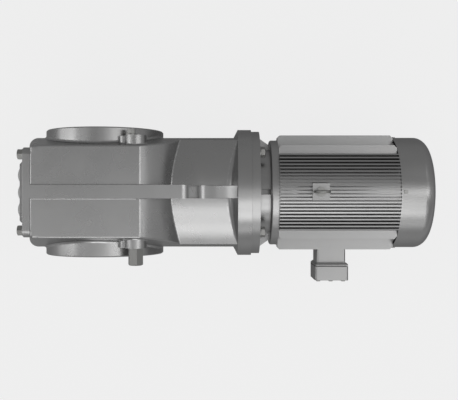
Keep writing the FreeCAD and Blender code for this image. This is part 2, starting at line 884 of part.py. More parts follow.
def output_gear():
    """Helical wheel with a thinner web, lightening holes and a hub that reaches the bearing."""
    low = output_gear_mid_y - output_gear_width / 2
    high = low + output_gear_width
    turn = mesh_angle + math.pi / output_teeth
    teeth = helical_body(output_teeth, output_module, output_helix, turn, low, high, "Y", (0.0, 0.0))
    body = teeth.fuse(rod(gear_hub_r, -output_bearing_inner_y, low + 1, "Y"))
    cuts = [rod(shaft_gear_seat_r, -output_bearing_inner_y - 1, high + 1, "Y"), output_key_block()]
    inner, outer = gear_hub_r + 4, gear_rim_r
    for start, end in ((low - 1, low + gear_recess), (high - gear_recess, high + 1)):
        cuts.append(ring(inner, outer, start, end, "Y"))
    hole_r = (outer - inner) / 2 - 1
    for spot in around(gear_hole_count, (inner + outer) / 2):
        cuts.append(rod(hole_r, low, high, "Y", spot))
    return body.cut(cuts)


def bearing_rings(inner_r, outer_r, start, end, axis, centre):
    """The outer and inner ring of a shielded bearing, with a running gap between them."""
    middle = (inner_r + outer_r) / 2
    outer = ring(middle + running_gap / 2, outer_r, start, end, axis, centre)
    inner = ring(inner_r, middle - running_gap / 2, start, end, axis, centre)
    return outer, inner


def output_bearings():
    outers, inners = [], []
    for side in (-1, 1):
        start = side * output_bearing_inner_y
        end = side * (output_bearing_inner_y + output_bearing_width)
        outer, inner = bearing_rings(shaft_seat_r, hub_bore_r, start, end, "Y", (0.0, 0.0))
        outers.append(outer)
        inners.append(inner)
    return Part.makeCompound(outers), Part.makeCompound(inners)


def output_circlips():
    face = output_bearing_inner_y + output_bearing_width
    clips = []
    for side in (-1, 1):
        clips.append(ring(hub_bore_r - 8, hub_bore_r, side * face, side * (face + circlip_width), "Y"))
    return Part.makeCompound(clips)


def output_seal(side):
    start = output_bearing_inner_y + output_bearing_width + circlip_width
    return ring(shaft_seat_r + running_gap, hub_bore_r, side * start, side * (start + output_seal_width), "Y")


# Intermediate line

def intermediate_shaft():
    centre = (inter_x, inter_z)
    end = inter_bearing_y + inter_bearing_width
    low = output_gear_mid_y - output_gear_width / 2 - 2
    high = low + output_gear_width + 4
    profile = [(-end, 0.0), (-end, inter_seat_r), (-inter_bearing_y, inter_seat_r),
               (-inter_bearing_y, inter_collar_r), (bevel_shoulder_y, inter_collar_r),
               (bevel_shoulder_y, bevel_seat_r), (bevel_hub_end_y, bevel_seat_r),
               (bevel_hub_end_y, inter_seat_r), (end, inter_seat_r), (end, 0.0)]
    shaft = turned(profile, "Y", centre)
    turn = mesh_angle + math.pi
    teeth = helical_body(output_pinion_teeth, output_module, -output_helix, turn, low, high, "Y", centre)
    return shaft.fuse(teeth).cut(bevel_key_block())


def bevel_key_block():
    return block(inter_x - 7, inter_x + 7, bevel_shoulder_y + 6, bevel_hub_end_y - 6,
                 inter_z + bevel_seat_r - 5, inter_z + bevel_seat_r + 4)


def bevel_gear():
    low_small, tip_small, tip_large, low_large = bevel_rim(bevel_gear_teeth, bevel_pinion_teeth)
    profile = [(bevel_shoulder_y, bevel_seat_r), (bevel_shoulder_y, bevel_hub_r - 6),
               (low_small[0], bevel_hub_r), low_small, tip_small, tip_large, low_large,
               (bevel_hub_end_y - 10, low_large[1] - 6), (bevel_hub_end_y - 10, bevel_hub_r),
               (bevel_hub_end_y, bevel_hub_r), (bevel_hub_end_y, bevel_seat_r)]
    blank = turned(profile, "Y", (inter_x, inter_z))
    step = 2 * math.pi / bevel_gear_teeth
    gaps = [bevel_gap(bevel_gear_teeth, bevel_pinion_teeth, bevel_twist, k * step, "Y", apex)
            for k in range(bevel_gear_teeth)]
    return blank.cut(gaps + [bevel_key_block()])


def intermediate_spacer():
    return ring(inter_seat_r, bevel_seat_r + 4, bevel_hub_end_y, inter_bearing_y, "Y", (inter_x, inter_z))


def intermediate_bearings():
    outers, inners = [], []
    for side in (-1, 1):
        start = side * inter_bearing_y
        end = side * (inter_bearing_y + inter_bearing_width)
        outer, inner = bearing_rings(inter_seat_r, inter_bearing_r, start, end, "Y", (inter_x, inter_z))
        outers.append(outer)
        inners.append(inner)
    return Part.makeCompound(outers), Part.makeCompound(inners)


def intermediate_cap():
    """The pressed cap that closes the open bearing bore."""
    start = inter_bearing_y + inter_bearing_width
    inner = ring(inter_bearing_r - 4, inter_bearing_r, start, start + 2, "Y", (inter_x, inter_z))
    return inner.fuse(rod(inter_bearing_r, start + 2, start + inter_cap_thick, "Y", (inter_x, inter_z)))


# Bevel pinion line

def bevel_pinion_shaft():
    low_small, tip_small, tip_large, low_large = bevel_rim(bevel_pinion_teeth, bevel_gear_teeth)
    shift = inter_x
    gear_end = first_gear_x + first_gear_width
    profile = [(shift + low_small[0], 0.0)]
    for along, radius in (low_small, tip_small, tip_large, low_large):
        profile.append((shift + along, radius))
    profile += [(pinion_bearing_x, low_large[1]), (pinion_bearing_x, pinion_seat_r),
                (pinion_bearing_end, pinion_seat_r), (pinion_bearing_end, first_seat_r),
                (gear_end, first_seat_r), (gear_end, first_seat_r - 3),
                (gear_end + pinion_nut_thick + 2, first_seat_r - 3), (gear_end + pinion_nut_thick + 2, 0.0)]
    blank = turned(profile, "X", pinion_axis)
    step = 2 * math.pi / bevel_pinion_teeth
    twist = -bevel_twist * bevel_gear_teeth / bevel_pinion_teeth
    gaps = [bevel_gap(bevel_pinion_teeth, bevel_gear_teeth, twist, (k + 0.5) * step, "X", apex)
            for k in range(bevel_pinion_teeth)]
    return blank.cut(gaps + [first_key_block()])


def first_key_block():
    end = first_gear_x + first_gear_width
    return block(first_gear_x + 2, end - 2, -6.0, 6.0,
                 pinion_axis[1] - first_seat_r - 3.5, pinion_axis[1] - first_seat_r + 4.5)


def first_stage_gear():
    end = first_gear_x + first_gear_width
    turn = math.pi / 2 + math.pi / first_gear_teeth
    teeth = helical_body(first_gear_teeth, first_module, first_helix, turn, first_gear_x, end,
                         "X", pinion_axis)
    body = teeth.fuse(rod(first_hub_r, pinion_bearing_end, first_gear_x + 1, "X", pinion_axis))
    return body.cut([rod(first_seat_r, pinion_bearing_end - 1, end + 1, "X", pinion_axis), first_key_block()])


def pinion_nut():
    end = first_gear_x + first_gear_width
    nut = hexagon(pinion_nut_flats, end, end + pinion_nut_thick, "X", pinion_axis)
    return nut.cut(rod(first_seat_r - 3, end - 1, end + pinion_nut_thick + 1, "X", pinion_axis))


def pinion_bearings():
    outers, inners = [], []
    for start in (pinion_bearing_x, pinion_bearing_end - pinion_bearing_width):
        outer, inner = bearing_rings(pinion_seat_r, pinion_bearing_r, start, start + pinion_bearing_width,
                                     "X", pinion_axis)
        outers.append(outer)
        inners.append(inner)
    return Part.makeCompound(outers), Part.makeCompound(inners)


def pinion_spacers():
    start = pinion_bearing_x + pinion_bearing_width
    inner = ring(pinion_seat_r, pinion_seat_r + 5, start, start + pinion_bearing_gap, "X", pinion_axis)
    outer = ring(pinion_bearing_r - 5, pinion_bearing_r, start, start + pinion_bearing_gap, "X", pinion_axis)
    return outer, inner


# Motor shields and frame

def drive_end_shield():
    """The motor's front shield: flange, neck with four gussets, and a ring with a round shoulder."""
    nose = case_flange_face - register_depth
    bearing_end = motor_bearing_x + motor_bearing_width
    inner_r = neck_r - neck_wall
    soft = shield_ring_round
    lean = soft * (1 - math.sqrt(0.5))
    round_mid = (shield_ring_x + lean, shield_ring_r - lean)
    profile = [(nose, motor_bearing_r - 9), (nose, register_r), (case_flange_face, register_r),
               (case_flange_face, motor_flange_r), (motor_flange_face, motor_flange_r),
               (motor_flange_face, neck_r), (shield_ring_x, neck_r), (shield_ring_x, shield_ring_r - soft),
               (round_mid, (shield_ring_x + soft, shield_ring_r)),
               (frame_x, shield_ring_r), (frame_x, frame_bore_r),
               (frame_x + 5, frame_bore_r), (frame_x + 5, inner_r), (bearing_end + 8, inner_r),
               (bearing_end, motor_bearing_r + 22), (bearing_end, motor_bearing_r),
               (motor_bearing_x, motor_bearing_r), (motor_bearing_x, motor_bearing_r - 9)]
    shapes = [turned(profile, "X")]
    for k in range(4):
        outline = [(motor_flange_face - 1, neck_r - 3), (motor_flange_face - 1, gusset_outer_r),
                   (shield_ring_x + 1, gusset_inner_r), (shield_ring_x + 1, neck_r - 3)]
        rib = prism_y(outline, gusset_thick / 2)
        rib.rotate(vec(0, 0, 0), vec(1, 0, 0), 90 * k)
        shapes.append(rib)
    cuts = []
    for spot in around(motor_bolt_count, motor_bolt_circle / 2, 45):
        cuts.append(rod(motor_bolt_r + 1, case_flange_face - 1, motor_flange_face + 1, "X", spot))
    return joined(shapes).cut(cuts)


def flange_bolts():
    length = motor_flange_thick + case_flange_face - case_flange_back - 8
    bolts = []
    for spot in around(motor_bolt_count, motor_bolt_circle / 2, 45):
        bolts.append(hex_bolt(motor_bolt_flats, motor_bolt_head, motor_bolt_r, length,
                              motor_flange_face, 1, spot))
    return Part.makeCompound(bolts)


def upright_fins():
    """The fins above and below, whose tips follow a circle about the motor axis."""
    reach = rod(fin_tip_r, frame_x, frame_end, "X")
    fins = []
    for k in range(fin_count):
        y = (k - (fin_count - 1) / 2) * fin_pitch
        base = math.sqrt(frame_shell_r ** 2 - y ** 2) - frame_wall / 2
        for low, high in ((base, fin_tip_r), (-fin_tip_r, -base)):
            fin = block(frame_x, frame_end, y - fin_thick / 2, y + fin_thick / 2, low, high)
            fins.append(fin.common(reach))
    return fins


def side_fins():
    """The broad fins at the sides, with their outer corners cut off."""
    fins = []
    for z, tip in zip(side_fin_z, side_fin_tip_y):
        base = math.sqrt(frame_shell_r ** 2 - z ** 2) - frame_wall / 2
        for side in (-1, 1):
            low, high = sorted((side * base, side * tip))
            fin = block(frame_x, frame_end, low, high, z - side_fin_thick / 2, z + side_fin_thick / 2)
            corners = [e for e in fin.Edges if all(abs(v.Y - side * tip) < 0.1 for v in e.Vertexes)
                       and e.BoundBox.ZLength > side_fin_thick / 2]
            fins.append(fin.makeChamfer(side_fin_chamfer, corners))
    return fins


def motor_frame():
    """The finned shell, with a pad for the eye bolt and a flat seat for the terminal box."""
    shapes = [rod(frame_shell_r, frame_x, frame_end, "X")] + upright_fins() + side_fins()
    shapes.append(block(eye_pad_x - eye_pad_half, eye_pad_x + eye_pad_half, -eye_pad_half, eye_pad_half,
                        frame_shell_r - frame_wall / 2, eye_pad_top_z))
    body = joined(shapes)
    x0, x1 = terminal_x - terminal_neck_half_x - 2, terminal_x + terminal_neck_half_x + 2
    half_z = terminal_neck_half_z + 2
    body = body.cut(block(x0, x1, -fin_tip_r - 5, -frame_shell_r + 14, -half_z, half_z))
    body = body.fuse(block(x0, x1, terminal_seat_y, -frame_bore_r + 6, -half_z, half_z))
    cuts = [rod(frame_bore_r, frame_x - 1, frame_end + 1, "X"),
            rod(wire_hole_r, terminal_seat_y - 1, -frame_bore_r + 9, "Y", (terminal_x, 0.0)),
            rod(eye_shank_r, eye_pad_top_z - 20, eye_pad_top_z + 1, "Z", (eye_pad_x, 0.0))]
    return body.cut(cuts)


def lifting_eye_bolt():
    """A ring bolt: collar, ring and shank."""
    collar_top = eye_pad_top_z + eye_collar
    collar = rod(eye_collar_r, eye_pad_top_z, collar_top, "Z", (eye_pad_x, 0.0))
    shank = rod(eye_shank_r, eye_pad_top_z - 18, eye_pad_top_z, "Z", (eye_pad_x, 0.0))
    centre = vec(eye_pad_x, 0, collar_top + eye_ring_r - eye_bar_r)
    eye = Part.makeTorus(eye_ring_r - eye_bar_r, eye_bar_r, centre, vec(0, 1, 0))
    return joined([collar, shank, eye])


def rear_end_shield():
    boss_r = rear_bearing_r + 9
    face = frame_end + rear_shield_thick
    profile = [(frame_end - 5, frame_bore_r - 8), (frame_end - 5, frame_bore_r), (frame_end, frame_bore_r),
               (frame_end, rear_shield_r), (face, rear_shield_r), (face, rear_shaft_r + 3),
               (rear_bearing_x + rear_bearing_width, rear_shaft_r + 3),
               (rear_bearing_x + rear_bearing_width, rear_bearing_r), (rear_bearing_x, rear_bearing_r),
               (rear_bearing_x, boss_r), (frame_end, boss_r), (frame_end, frame_bore_r - 8)]
    shapes = [turned(profile, "X")]
    inner = fan_cover_r - fan_cover_wall
    for k in range(4):
        lug = block(frame_end + 1, face + 4, -lug_half_width, lug_half_width, rear_shield_r - 8, inner)
        lug.rotate(vec(0, 0, 0), vec(1, 0, 0), 90 * k)
        shapes.append(lug)
    reach = rod(inner - lug_clearance, rear_bearing_x - 1, face + 5, "X")
    return joined(shapes).common(reach)


def stator_core():
    return ring(stator_bore_r, frame_bore_r, stator_x0, stator_x1, "X")


def stator_windings():
    rings = [ring(winding_inner_r, winding_outer_r, stator_x0 - winding_overhang, stator_x0, "X"),
             ring(winding_inner_r, winding_outer_r, stator_x1, stator_x1 + winding_overhang, "X")]
    return Part.makeCompound(rings)


def rotor_shaft():
    bearing_end = motor_bearing_x + motor_bearing_width
    rear_end = rear_bearing_x + rear_bearing_width
    profile = [(motor_shaft_tip_x, pinion_shank_r), (motor_shaft_tip_x, motor_shaft_end_r),
               (motor_bearing_x, motor_shaft_end_r), (motor_bearing_x, motor_shaft_r),
               (bearing_end, motor_shaft_r), (bearing_end, rotor_core_bore_r),
               (rear_bearing_x, rotor_core_bore_r), (rear_bearing_x, rear_shaft_r),
               (rear_end, rear_shaft_r), (rear_end, fan_seat_r),
               (shaft_end_x, fan_seat_r), (shaft_end_x, 0.0), (motor_shaft_tip_x + pinion_shank_depth, 0.0),
               (motor_shaft_tip_x + pinion_shank_depth, pinion_shank_r)]
    return turned(profile, "X")


def motor_pinion():
    start, end = first_gear_x - 1, first_gear_x + first_gear_width + 1
    turn = -math.pi / 2
    teeth = helical_body(motor_pinion_teeth, first_module, -first_helix, turn, start, end, "X", (0.0, 0.0))
    neck = rod(12.0, end - 1, motor_shaft_tip_x, "X")
    shank = rod(pinion_shank_r, motor_shaft_tip_x - 1, motor_shaft_tip_x + pinion_shank_depth, "X")
    return joined([teeth, neck, shank])


def rotor_core():
    return ring(rotor_core_bore_r, stator_bore_r - air_gap, stator_x0, stator_x1, "X")


def motor_bearings():
    outers, inners = [], []
    spans = ((motor_bearing_x, motor_bearing_width, motor_shaft_r, motor_bearing_r),
             (rear_bearing_x, rear_bearing_width, rear_shaft_r, rear_bearing_r))
    for start, width, inner_r, outer_r in spans:
        outer, inner = bearing_rings(inner_r, outer_r, start, start + width, "X", (0.0, 0.0))
        outers.append(outer)
        inners.append(inner)
    return Part.makeCompound(outers), Part.makeCompound(inners)


def motor_shaft_seal():
    end = motor_bearing_x
    return ring(motor_shaft_end_r + running_gap, motor_bearing_r - 9, end - motor_seal_width, end, "X")


def cooling_fan():
    """A radial fan: hub, disc and straight blades."""
    shapes = [rod(fan_hub_r, fan_x0, fan_x1, "X"), rod(fan_disc_r, fan_x0 + 4, fan_x0 + 8, "X")]
    for k in range(fan_blades):
        blade = block(fan_x0 + 4, fan_x1, -fan_blade_thick / 2, fan_blade_thick / 2, fan_hub_r - 4, fan_r)
        blade.rotate(vec(0, 0, 0), vec(1, 0, 0), 360.0 * k / fan_blades)
        shapes.append(blade)
    return joined(shapes).cut(rod(fan_seat_r, fan_x0 - 1, fan_x1 + 1, "X"))


def cover_shape(inset):
    """The fan cover's form as a solid, drawn in by inset: a tube, a round corner and a shallow dome."""
    side = fan_cover_r - inset
    bend = fan_cover_bend_x
    dome_x, dome_r = fan_cover_dome_x - inset * 0.6, fan_cover_dome_r - inset * 0.8
    end = fan_cover_end - inset
    sag = end - dome_x
    sphere = (dome_r ** 2 + sag ** 2) / (2 * sag)
    mid_r = dome_r / 2
    mid_x = end - (sphere - math.sqrt(sphere ** 2 - mid_r ** 2))
    eighth = math.sqrt(0.5)
    corner = (bend + (dome_x - bend) * eighth, dome_r + (side - dome_r) * eighth)
    profile = [(fan_cover_x, 0.0), (fan_cover_x, side), (bend, side), (corner, (dome_x, dome_r)),
               ((mid_x, mid_r), (end, 0.0))]
    return turned(profile, "X")


def fan_cover():
    shell = cover_shape(0.0).cut(cover_shape(fan_cover_wall))
    start = fan_cover_dome_x - grille_spoke_width
    slots = []
    for k in range(grille_rings):
        inner = grille_first_r + k * grille_pitch
        slots.append(ring(inner, inner + grille_slot, start, fan_cover_end + 1, "X"))
    spokes = []
    for k in range(grille_spokes // 2):
        spoke = block(start - 1, fan_cover_end + 2, -grille_spoke_width / 2, grille_spoke_width / 2,
                      -fan_cover_r, fan_cover_r)
        spoke.rotate(vec(0, 0, 0), vec(1, 0, 0), 360.0 * k / grille_spokes)
        spokes.append(spoke)
    cutter = slots[0].multiFuse(slots[1:]).cut(spokes)
    return shell.cut(cutter)


def fan_cover_screws():
    screws = []
    x = frame_end + rear_shield_thick - 2
    for k in range(4):
        screw = rod(fan_screw_r, fan_cover_r, fan_cover_r + fan_screw_head, "Z", (x, 0.0))
        screw.rotate(vec(0, 0, 0), vec(1, 0, 0), 90 * k)
        screws.append(screw)
    return Part.makeCompound(screws)


# Terminal box

def rounded_box(half_x, y0, y1, half_z, corner):
    body = block(terminal_x - half_x, terminal_x + half_x, min(y0, y1), max(y0, y1), -half_z, half_z)
    edges = [e for e in body.Edges if abs(e.Vertexes[0].Y - e.Vertexes[1].Y) > 1]
    return body.makeFillet(corner, edges)


def terminal_box():
    """The neck on the motor, which widens to a flange with a sloped back."""
    neck = rounded_box(terminal_neck_half_x, terminal_base_y, terminal_seat_y, terminal_neck_half_z,
                       terminal_corner)
    tray = rounded_box(terminal_half_x, terminal_split_y, terminal_base_y, terminal_half_z, terminal_corner)
    back = [e for e in tray.Edges if all(v.Y > terminal_base_y - 0.1 for v in e.Vertexes)]
    tray = tray.makeChamfer(terminal_back_chamfer, back)
    room = rounded_box(terminal_neck_half_x - terminal_wall, terminal_split_y - 1, terminal_seat_y + 1,
                       terminal_neck_half_z - terminal_wall, terminal_corner - 3)
    return joined([neck, tray]).cut(room)


def terminal_gasket_sheet():
    start = terminal_split_y - terminal_gasket
    sheet = rounded_box(terminal_half_x, start, terminal_split_y, terminal_half_z, terminal_corner)
    room = rounded_box(terminal_neck_half_x - terminal_wall, start - 1, terminal_split_y + 1,
                       terminal_neck_half_z - terminal_wall, terminal_corner - 3)
    return sheet.cut(room)


def terminal_lid():
    start = terminal_split_y - terminal_gasket
    lid = rounded_box(terminal_half_x, terminal_lid_y, start, terminal_half_z, terminal_corner)
    room = rounded_box(terminal_half_x - terminal_wall, terminal_lid_y + terminal_wall, start + 1,
                       terminal_half_z - terminal_wall, terminal_corner - 3)
    return lid.cut(room)


def terminal_lid_screws():
    screws = []
    half_x, half_z = terminal_half_x - terminal_screw_edge, terminal_half_z - terminal_screw_edge
    for x in (-half_x, 0.0, half_x):
        for z in (-half_z, half_z):
            screws.append(rod(terminal_screw_r, terminal_lid_y - terminal_screw_head, terminal_lid_y, "Y",
                              (terminal_x + x, z)))
    return Part.makeCompound(screws)


def terminal_board():
    """The block with six posts, on two rails that span the neck."""
    top = terminal_seat_y - 24
    half = board_half
    shapes = [block(terminal_x - half, terminal_x + half, top - 8, top, -half, half)]
    for x in (-post_pitch, 0.0, post_pitch):
        for z in (-post_pitch, post_pitch):
            shapes.append(rod(3.0, top - 22, top - 8, "Y", (terminal_x + x, z)))
    reach = terminal_neck_half_x - terminal_wall
    for z in (-half, half):
        shapes.append(block(terminal_x - reach, terminal_x + reach, top - 6, top, z - 4, z + 4))
    return joined(shapes)


def entry_plug():
    """The blank that closes the cable entry under the box."""
    place = (terminal_x, (terminal_lid_y + terminal_split_y) / 2)
    return hexagon(entry_flats, -terminal_half_z - entry_head, -terminal_half_z, "Z", place, 0.0)


# Every node and its shape
output_outer_rings, output_inner_rings = output_bearings()
inter_outer_rings, inter_inner_rings = intermediate_bearings()
pinion_outer_rings, pinion_inner_rings = pinion_bearings()
pinion_outer_spacer, pinion_inner_spacer = pinion_spacers()
motor_outer_rings, motor_inner_rings = motor_bearings()

nodes = {
    "gear_case": gear_case(),
    "rear_cover": rear_cover(),
    "rear_cover_gasket": rear_cover_gasket(),
    "rear_cover_bolts": rear_cover_bolts(),
    "breather_valve": breather_valve(),
    "filler_plug": plug(1, side_boss_y, filler_plug_x, side_boss_z),
    "oil_level_plug": plug(1, case_half_width, level_plug_x, level_plug_z),
    "drain_plug": plug(-1, waist_half_width, drain_plug_x, drain_plug_z),
    "hollow_output_shaft": hollow_output_shaft(),
    "output_gear": output_gear(),
    "output_gear_key": output_key_block(),
    "output_bearing_outer_rings": output_outer_rings,
    "output_bearing_inner_rings": output_inner_rings,
    "output_circlips": output_circlips(),
    "output_seal_left": output_seal(1),
    "output_seal_right": output_seal(-1),
    "intermediate_shaft": intermediate_shaft(),
    "bevel_gear": bevel_gear(),
    "bevel_gear_key": bevel_key_block(),
    "intermediate_spacer": intermediate_spacer(),
    "intermediate_bearing_outer_rings": inter_outer_rings,
    "intermediate_bearing_inner_rings": inter_inner_rings,
    "intermediate_bore_cap": intermediate_cap(),
    "bevel_pinion_shaft": bevel_pinion_shaft(),
    "first_stage_gear": first_stage_gear(),
    "first_stage_gear_key": first_key_block(),
    "pinion_shaft_nut": pinion_nut(),
    "pinion_bearing_outer_rings": pinion_outer_rings,
    "pinion_bearing_inner_rings": pinion_inner_rings,
    "pinion_outer_spacer": pinion_outer_spacer,
    "pinion_inner_spacer": pinion_inner_spacer,
    "drive_end_shield": drive_end_shield(),
    "flange_bolts": flange_bolts(),
    "motor_frame": motor_frame(),
    "lifting_eye_bolt": lifting_eye_bolt(),
    "rear_end_shield": rear_end_shield(),
    "stator_core": stator_core(),
    "stator_windings": stator_windings(),
    "rotor_shaft": rotor_shaft(),
    "motor_pinion": motor_pinion(),
    "rotor_core": rotor_core(),
    "motor_bearing_outer_rings": motor_outer_rings,
    "motor_bearing_inner_rings": motor_inner_rings,
    "motor_shaft_seal": motor_shaft_seal(),
    "cooling_fan": cooling_fan(),
    "fan_cover": fan_cover(),
    "fan_cover_screws": fan_cover_screws(),
    "terminal_box": terminal_box(),
    "terminal_box_gasket": terminal_gasket_sheet(),
    "terminal_box_lid": terminal_lid(),
    "terminal_lid_screws": terminal_lid_screws(),
    "terminal_board": terminal_board(),
    "cable_entry_plug": entry_plug(),
}

os.makedirs("parts", exist_ok=True)
for name, shape in nodes.items():
    shape.exportStep("parts/" + name + ".step")
    print(name, "solids", len(shape.Solids), "valid", shape.isValid(), "volume", round(shape.Volume))
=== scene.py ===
# %% [markdown]
# # A right-angle gear unit with its motor
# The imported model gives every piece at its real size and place. This file gives each piece the finish and
# the fine shape that the eye expects: cast edges, beads in the corners, bolt heads, satin paint. The first
# cell loads the model and keeps its box, because nothing dressed later may grow past it.

# %% Load the model
import bpy
import bmesh
import json
import math
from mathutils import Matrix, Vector


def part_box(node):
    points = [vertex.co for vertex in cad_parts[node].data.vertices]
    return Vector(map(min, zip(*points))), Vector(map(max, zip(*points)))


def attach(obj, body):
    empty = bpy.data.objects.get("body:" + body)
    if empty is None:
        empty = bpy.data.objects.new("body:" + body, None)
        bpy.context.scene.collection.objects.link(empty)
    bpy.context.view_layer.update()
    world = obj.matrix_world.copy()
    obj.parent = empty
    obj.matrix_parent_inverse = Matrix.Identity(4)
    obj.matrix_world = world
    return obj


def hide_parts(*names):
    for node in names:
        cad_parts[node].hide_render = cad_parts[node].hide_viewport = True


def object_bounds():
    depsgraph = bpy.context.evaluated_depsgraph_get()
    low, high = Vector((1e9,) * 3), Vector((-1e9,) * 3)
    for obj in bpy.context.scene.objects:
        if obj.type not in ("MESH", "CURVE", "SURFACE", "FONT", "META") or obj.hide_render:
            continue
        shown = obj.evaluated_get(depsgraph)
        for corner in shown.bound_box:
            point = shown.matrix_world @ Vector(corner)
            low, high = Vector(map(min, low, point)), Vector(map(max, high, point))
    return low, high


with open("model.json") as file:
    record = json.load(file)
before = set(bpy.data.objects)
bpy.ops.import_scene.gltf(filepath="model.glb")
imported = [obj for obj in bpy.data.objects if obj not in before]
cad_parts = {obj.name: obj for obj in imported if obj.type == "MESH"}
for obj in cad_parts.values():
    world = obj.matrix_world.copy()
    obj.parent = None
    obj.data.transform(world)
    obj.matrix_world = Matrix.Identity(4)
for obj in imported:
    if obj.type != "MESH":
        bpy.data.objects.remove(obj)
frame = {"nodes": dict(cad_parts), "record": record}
cad_box = [list(corner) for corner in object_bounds()]
nodes = frame["nodes"]
MM = 0.001
print("model box", cad_box)

# %% [markdown]
# ## The camera
# The photograph looks straight down from about 1.8 m, so near pieces look larger than far ones. A camera
# with no turn looks along -Z with +Y up, which is that view, so only its place and its lens are set.

# %% Camera
CAMERA_PLACE = (0.3074, -0.0186, 1.8126)
SENSOR_WIDTH = 36.0
LENS = 57.4


def place_in_scene(name, data):
    """A new object around a mesh, a lamp or a camera."""
    thing = bpy.data.objects.new(name, data)
    bpy.context.scene.collection.objects.link(thing)
    return thing


camera = place_in_scene("camera", bpy.data.cameras.new("camera"))
camera.data.sensor_width = SENSOR_WIDTH
camera.data.lens = LENS
camera.location = CAMERA_PLACE
bpy.context.scene.camera = camera
bpy.context.scene.view_settings.view_transform = "Standard"
print("camera at", CAMERA_PLACE, "with a lens of", LENS)

# %% [markdown]
# ## Tools for building materials
# A material is a tree of nodes, and most of the work is to make a node, set its numbers and link it to the
# next. Small helpers keep the recipes below short. They take a plain number where the value is even, and
# another node's output where it changes over the surface.

# %% Node tools


def feed(tree, socket, value):
    """Links an output to an input, or sets the input to a number or a colour."""
    if hasattr(value, "is_output"):
        tree.links.new(value, socket)
    else:
        socket.default_value = value


def add_node(tree, kind, inputs=None, **settings):
    """A node with its settings and its inputs."""
    node = tree.nodes.new(kind)
    for key, value in settings.items():
        setattr(node, key, value)
    for label, value in (inputs or {}).items():
        feed(tree, node.inputs[label], value)
    return node


def math_node(tree, operation, a, b):
    """The result of a Math node. a and b are outputs or numbers."""
    node = add_node(tree, "ShaderNodeMath", operation=operation)
    feed(tree, node.inputs[0], a)
    feed(tree, node.inputs[1], b)
    return node.outputs[0]


def ramp(tree, value, low, high, at_low=0.0, at_high=1.0, kind="SMOOTHSTEP"):
    """at_low where value is below low, at_high above high, and a smooth or straight change between."""
    limits = {"Value": value, "From Min": low, "From Max": high, "To Min": at_low, "To Max": at_high}
    return add_node(tree, "ShaderNodeMapRange", limits, interpolation_type=kind).outputs["Result"]


def new_material(name):
    """An empty node material, its tree and its output."""
    material = bpy.data.materials.new(name)
    material.use_nodes = True
    material.node_tree.nodes.clear()
    return material, material.node_tree, add_node(material.node_tree, "ShaderNodeOutputMaterial")


def grey(level):
    """A grey colour of one level."""
    return (level, level, level, 1.0)


print("node tools ready")

# %% [markdown]
# ## The floor
# The photograph has an even pale ground. More light would wash out the paint, so the ground gets its
# paleness from Light Path, which tells what kind of ray looks at it. The camera sees a plain glow over a
# little pale matt floor, and that matt part keeps the soft shadow of the object. The light on the object
# meets a dark matt floor, so the undersides stay dark. Metal mirrors a part of the glow: little close by,
# where a real ground lies in the object's shade, and more further off and on the side of the terminal box.

# %% Floor
PAPER, FLOOR_TONE, SHADOW_TONE = grey(0.895), grey(0.15), grey(0.8)
FLOOR_SEEN = {"Is Camera Ray": 0.9, "Is Glossy Ray": 0.24, "Is Transmission Ray": 0.9}
FLOOR_REACH = 6.0
# The glow that metal mirrors holds painted shade near the object's middle and painted light towards -Y, the
# terminal box side.
SHADE_SHIFT, SHADE_SCALE = (-0.3, 0.0), (0.5, 1.0, 1.0)
# low, high, share at low, share at high: over the distance from the object's middle, and over Y
SHADE_FADE = (0.2, 1.0, 0.45, 1.6)
PAINTED_SIDE_LIGHT = (-0.6, 0.6, 1.15, 0.7)
floor_z = cad_box[0][2]


def ray_share(tree, shares):
    """The sum of Light Path's outputs, each times its share, which is a number or an output."""
    seen = add_node(tree, "ShaderNodeLightPath")
    total = 0.0
    for ray, share in shares.items():
        total = math_node(tree, "ADD", math_node(tree, "MULTIPLY", seen.outputs[ray], share), total)
    return total


def mirrored_floor(tree):
    """How much of the glow metal shows: painted shade, weaker near the middle of the object, and painted
    light, stronger on the terminal box side.
    """
    place = add_node(tree, "ShaderNodeTexCoord").outputs["Object"]
    middle = add_node(tree, "ShaderNodeMapping", {"Vector": place, "Location": (*SHADE_SHIFT, -floor_z),
                                                  "Scale": SHADE_SCALE})
    distance = add_node(tree, "ShaderNodeVectorMath", operation="LENGTH")
    tree.links.new(middle.outputs[0], distance.inputs[0])
    near = ramp(tree, distance.outputs["Value"], *SHADE_FADE, kind="LINEAR")
    split = add_node(tree, "ShaderNodeSeparateXYZ", {"Vector": place})
    side = ramp(tree, split.outputs["Y"], *PAINTED_SIDE_LIGHT, kind="LINEAR")
    return math_node(tree, "MULTIPLY", math_node(tree, "MULTIPLY", near, side), FLOOR_SEEN["Is Glossy Ray"])


def two_shaders(tree, share, first, second):
    """Mixes the shaders of two nodes."""
    mix = add_node(tree, "ShaderNodeMixShader", {"Fac": share})
    tree.links.new(first.outputs[0], mix.inputs[1])
    tree.links.new(second.outputs[0], mix.inputs[2])
    return mix


def pale_floor():
    """Dark and matt for the light, pale with a soft shadow for the camera, and partly pale for metal."""
    material, tree, out = new_material("pale_floor")
    dark = add_node(tree, "ShaderNodeBsdfDiffuse", {"Color": FLOOR_TONE})
    pale = add_node(tree, "ShaderNodeBsdfDiffuse", {"Color": SHADOW_TONE})
    matt = two_shaders(tree, ray_share(tree, {"Is Camera Ray": 1.0}), dark, pale)
    glow = add_node(tree, "ShaderNodeEmission", {"Color": PAPER})
    shares = {**FLOOR_SEEN, "Is Glossy Ray": mirrored_floor(tree)}
    whole = two_shaders(tree, ray_share(tree, shares), matt, glow)
    tree.links.new(whole.outputs[0], out.inputs["Surface"])
    return material


floor_mesh = bpy.data.meshes.new("floor")
floor_mesh.from_pydata([(x * FLOOR_REACH, y * FLOOR_REACH, floor_z) for x, y in
                        ((-1, -1), (1, -1), (1, 1), (-1, 1))], [], [(0, 1, 2, 3)])
floor_mesh.materials.append(pale_floor())
place_in_scene("floor", floor_mesh)
print("floor at", floor_z)

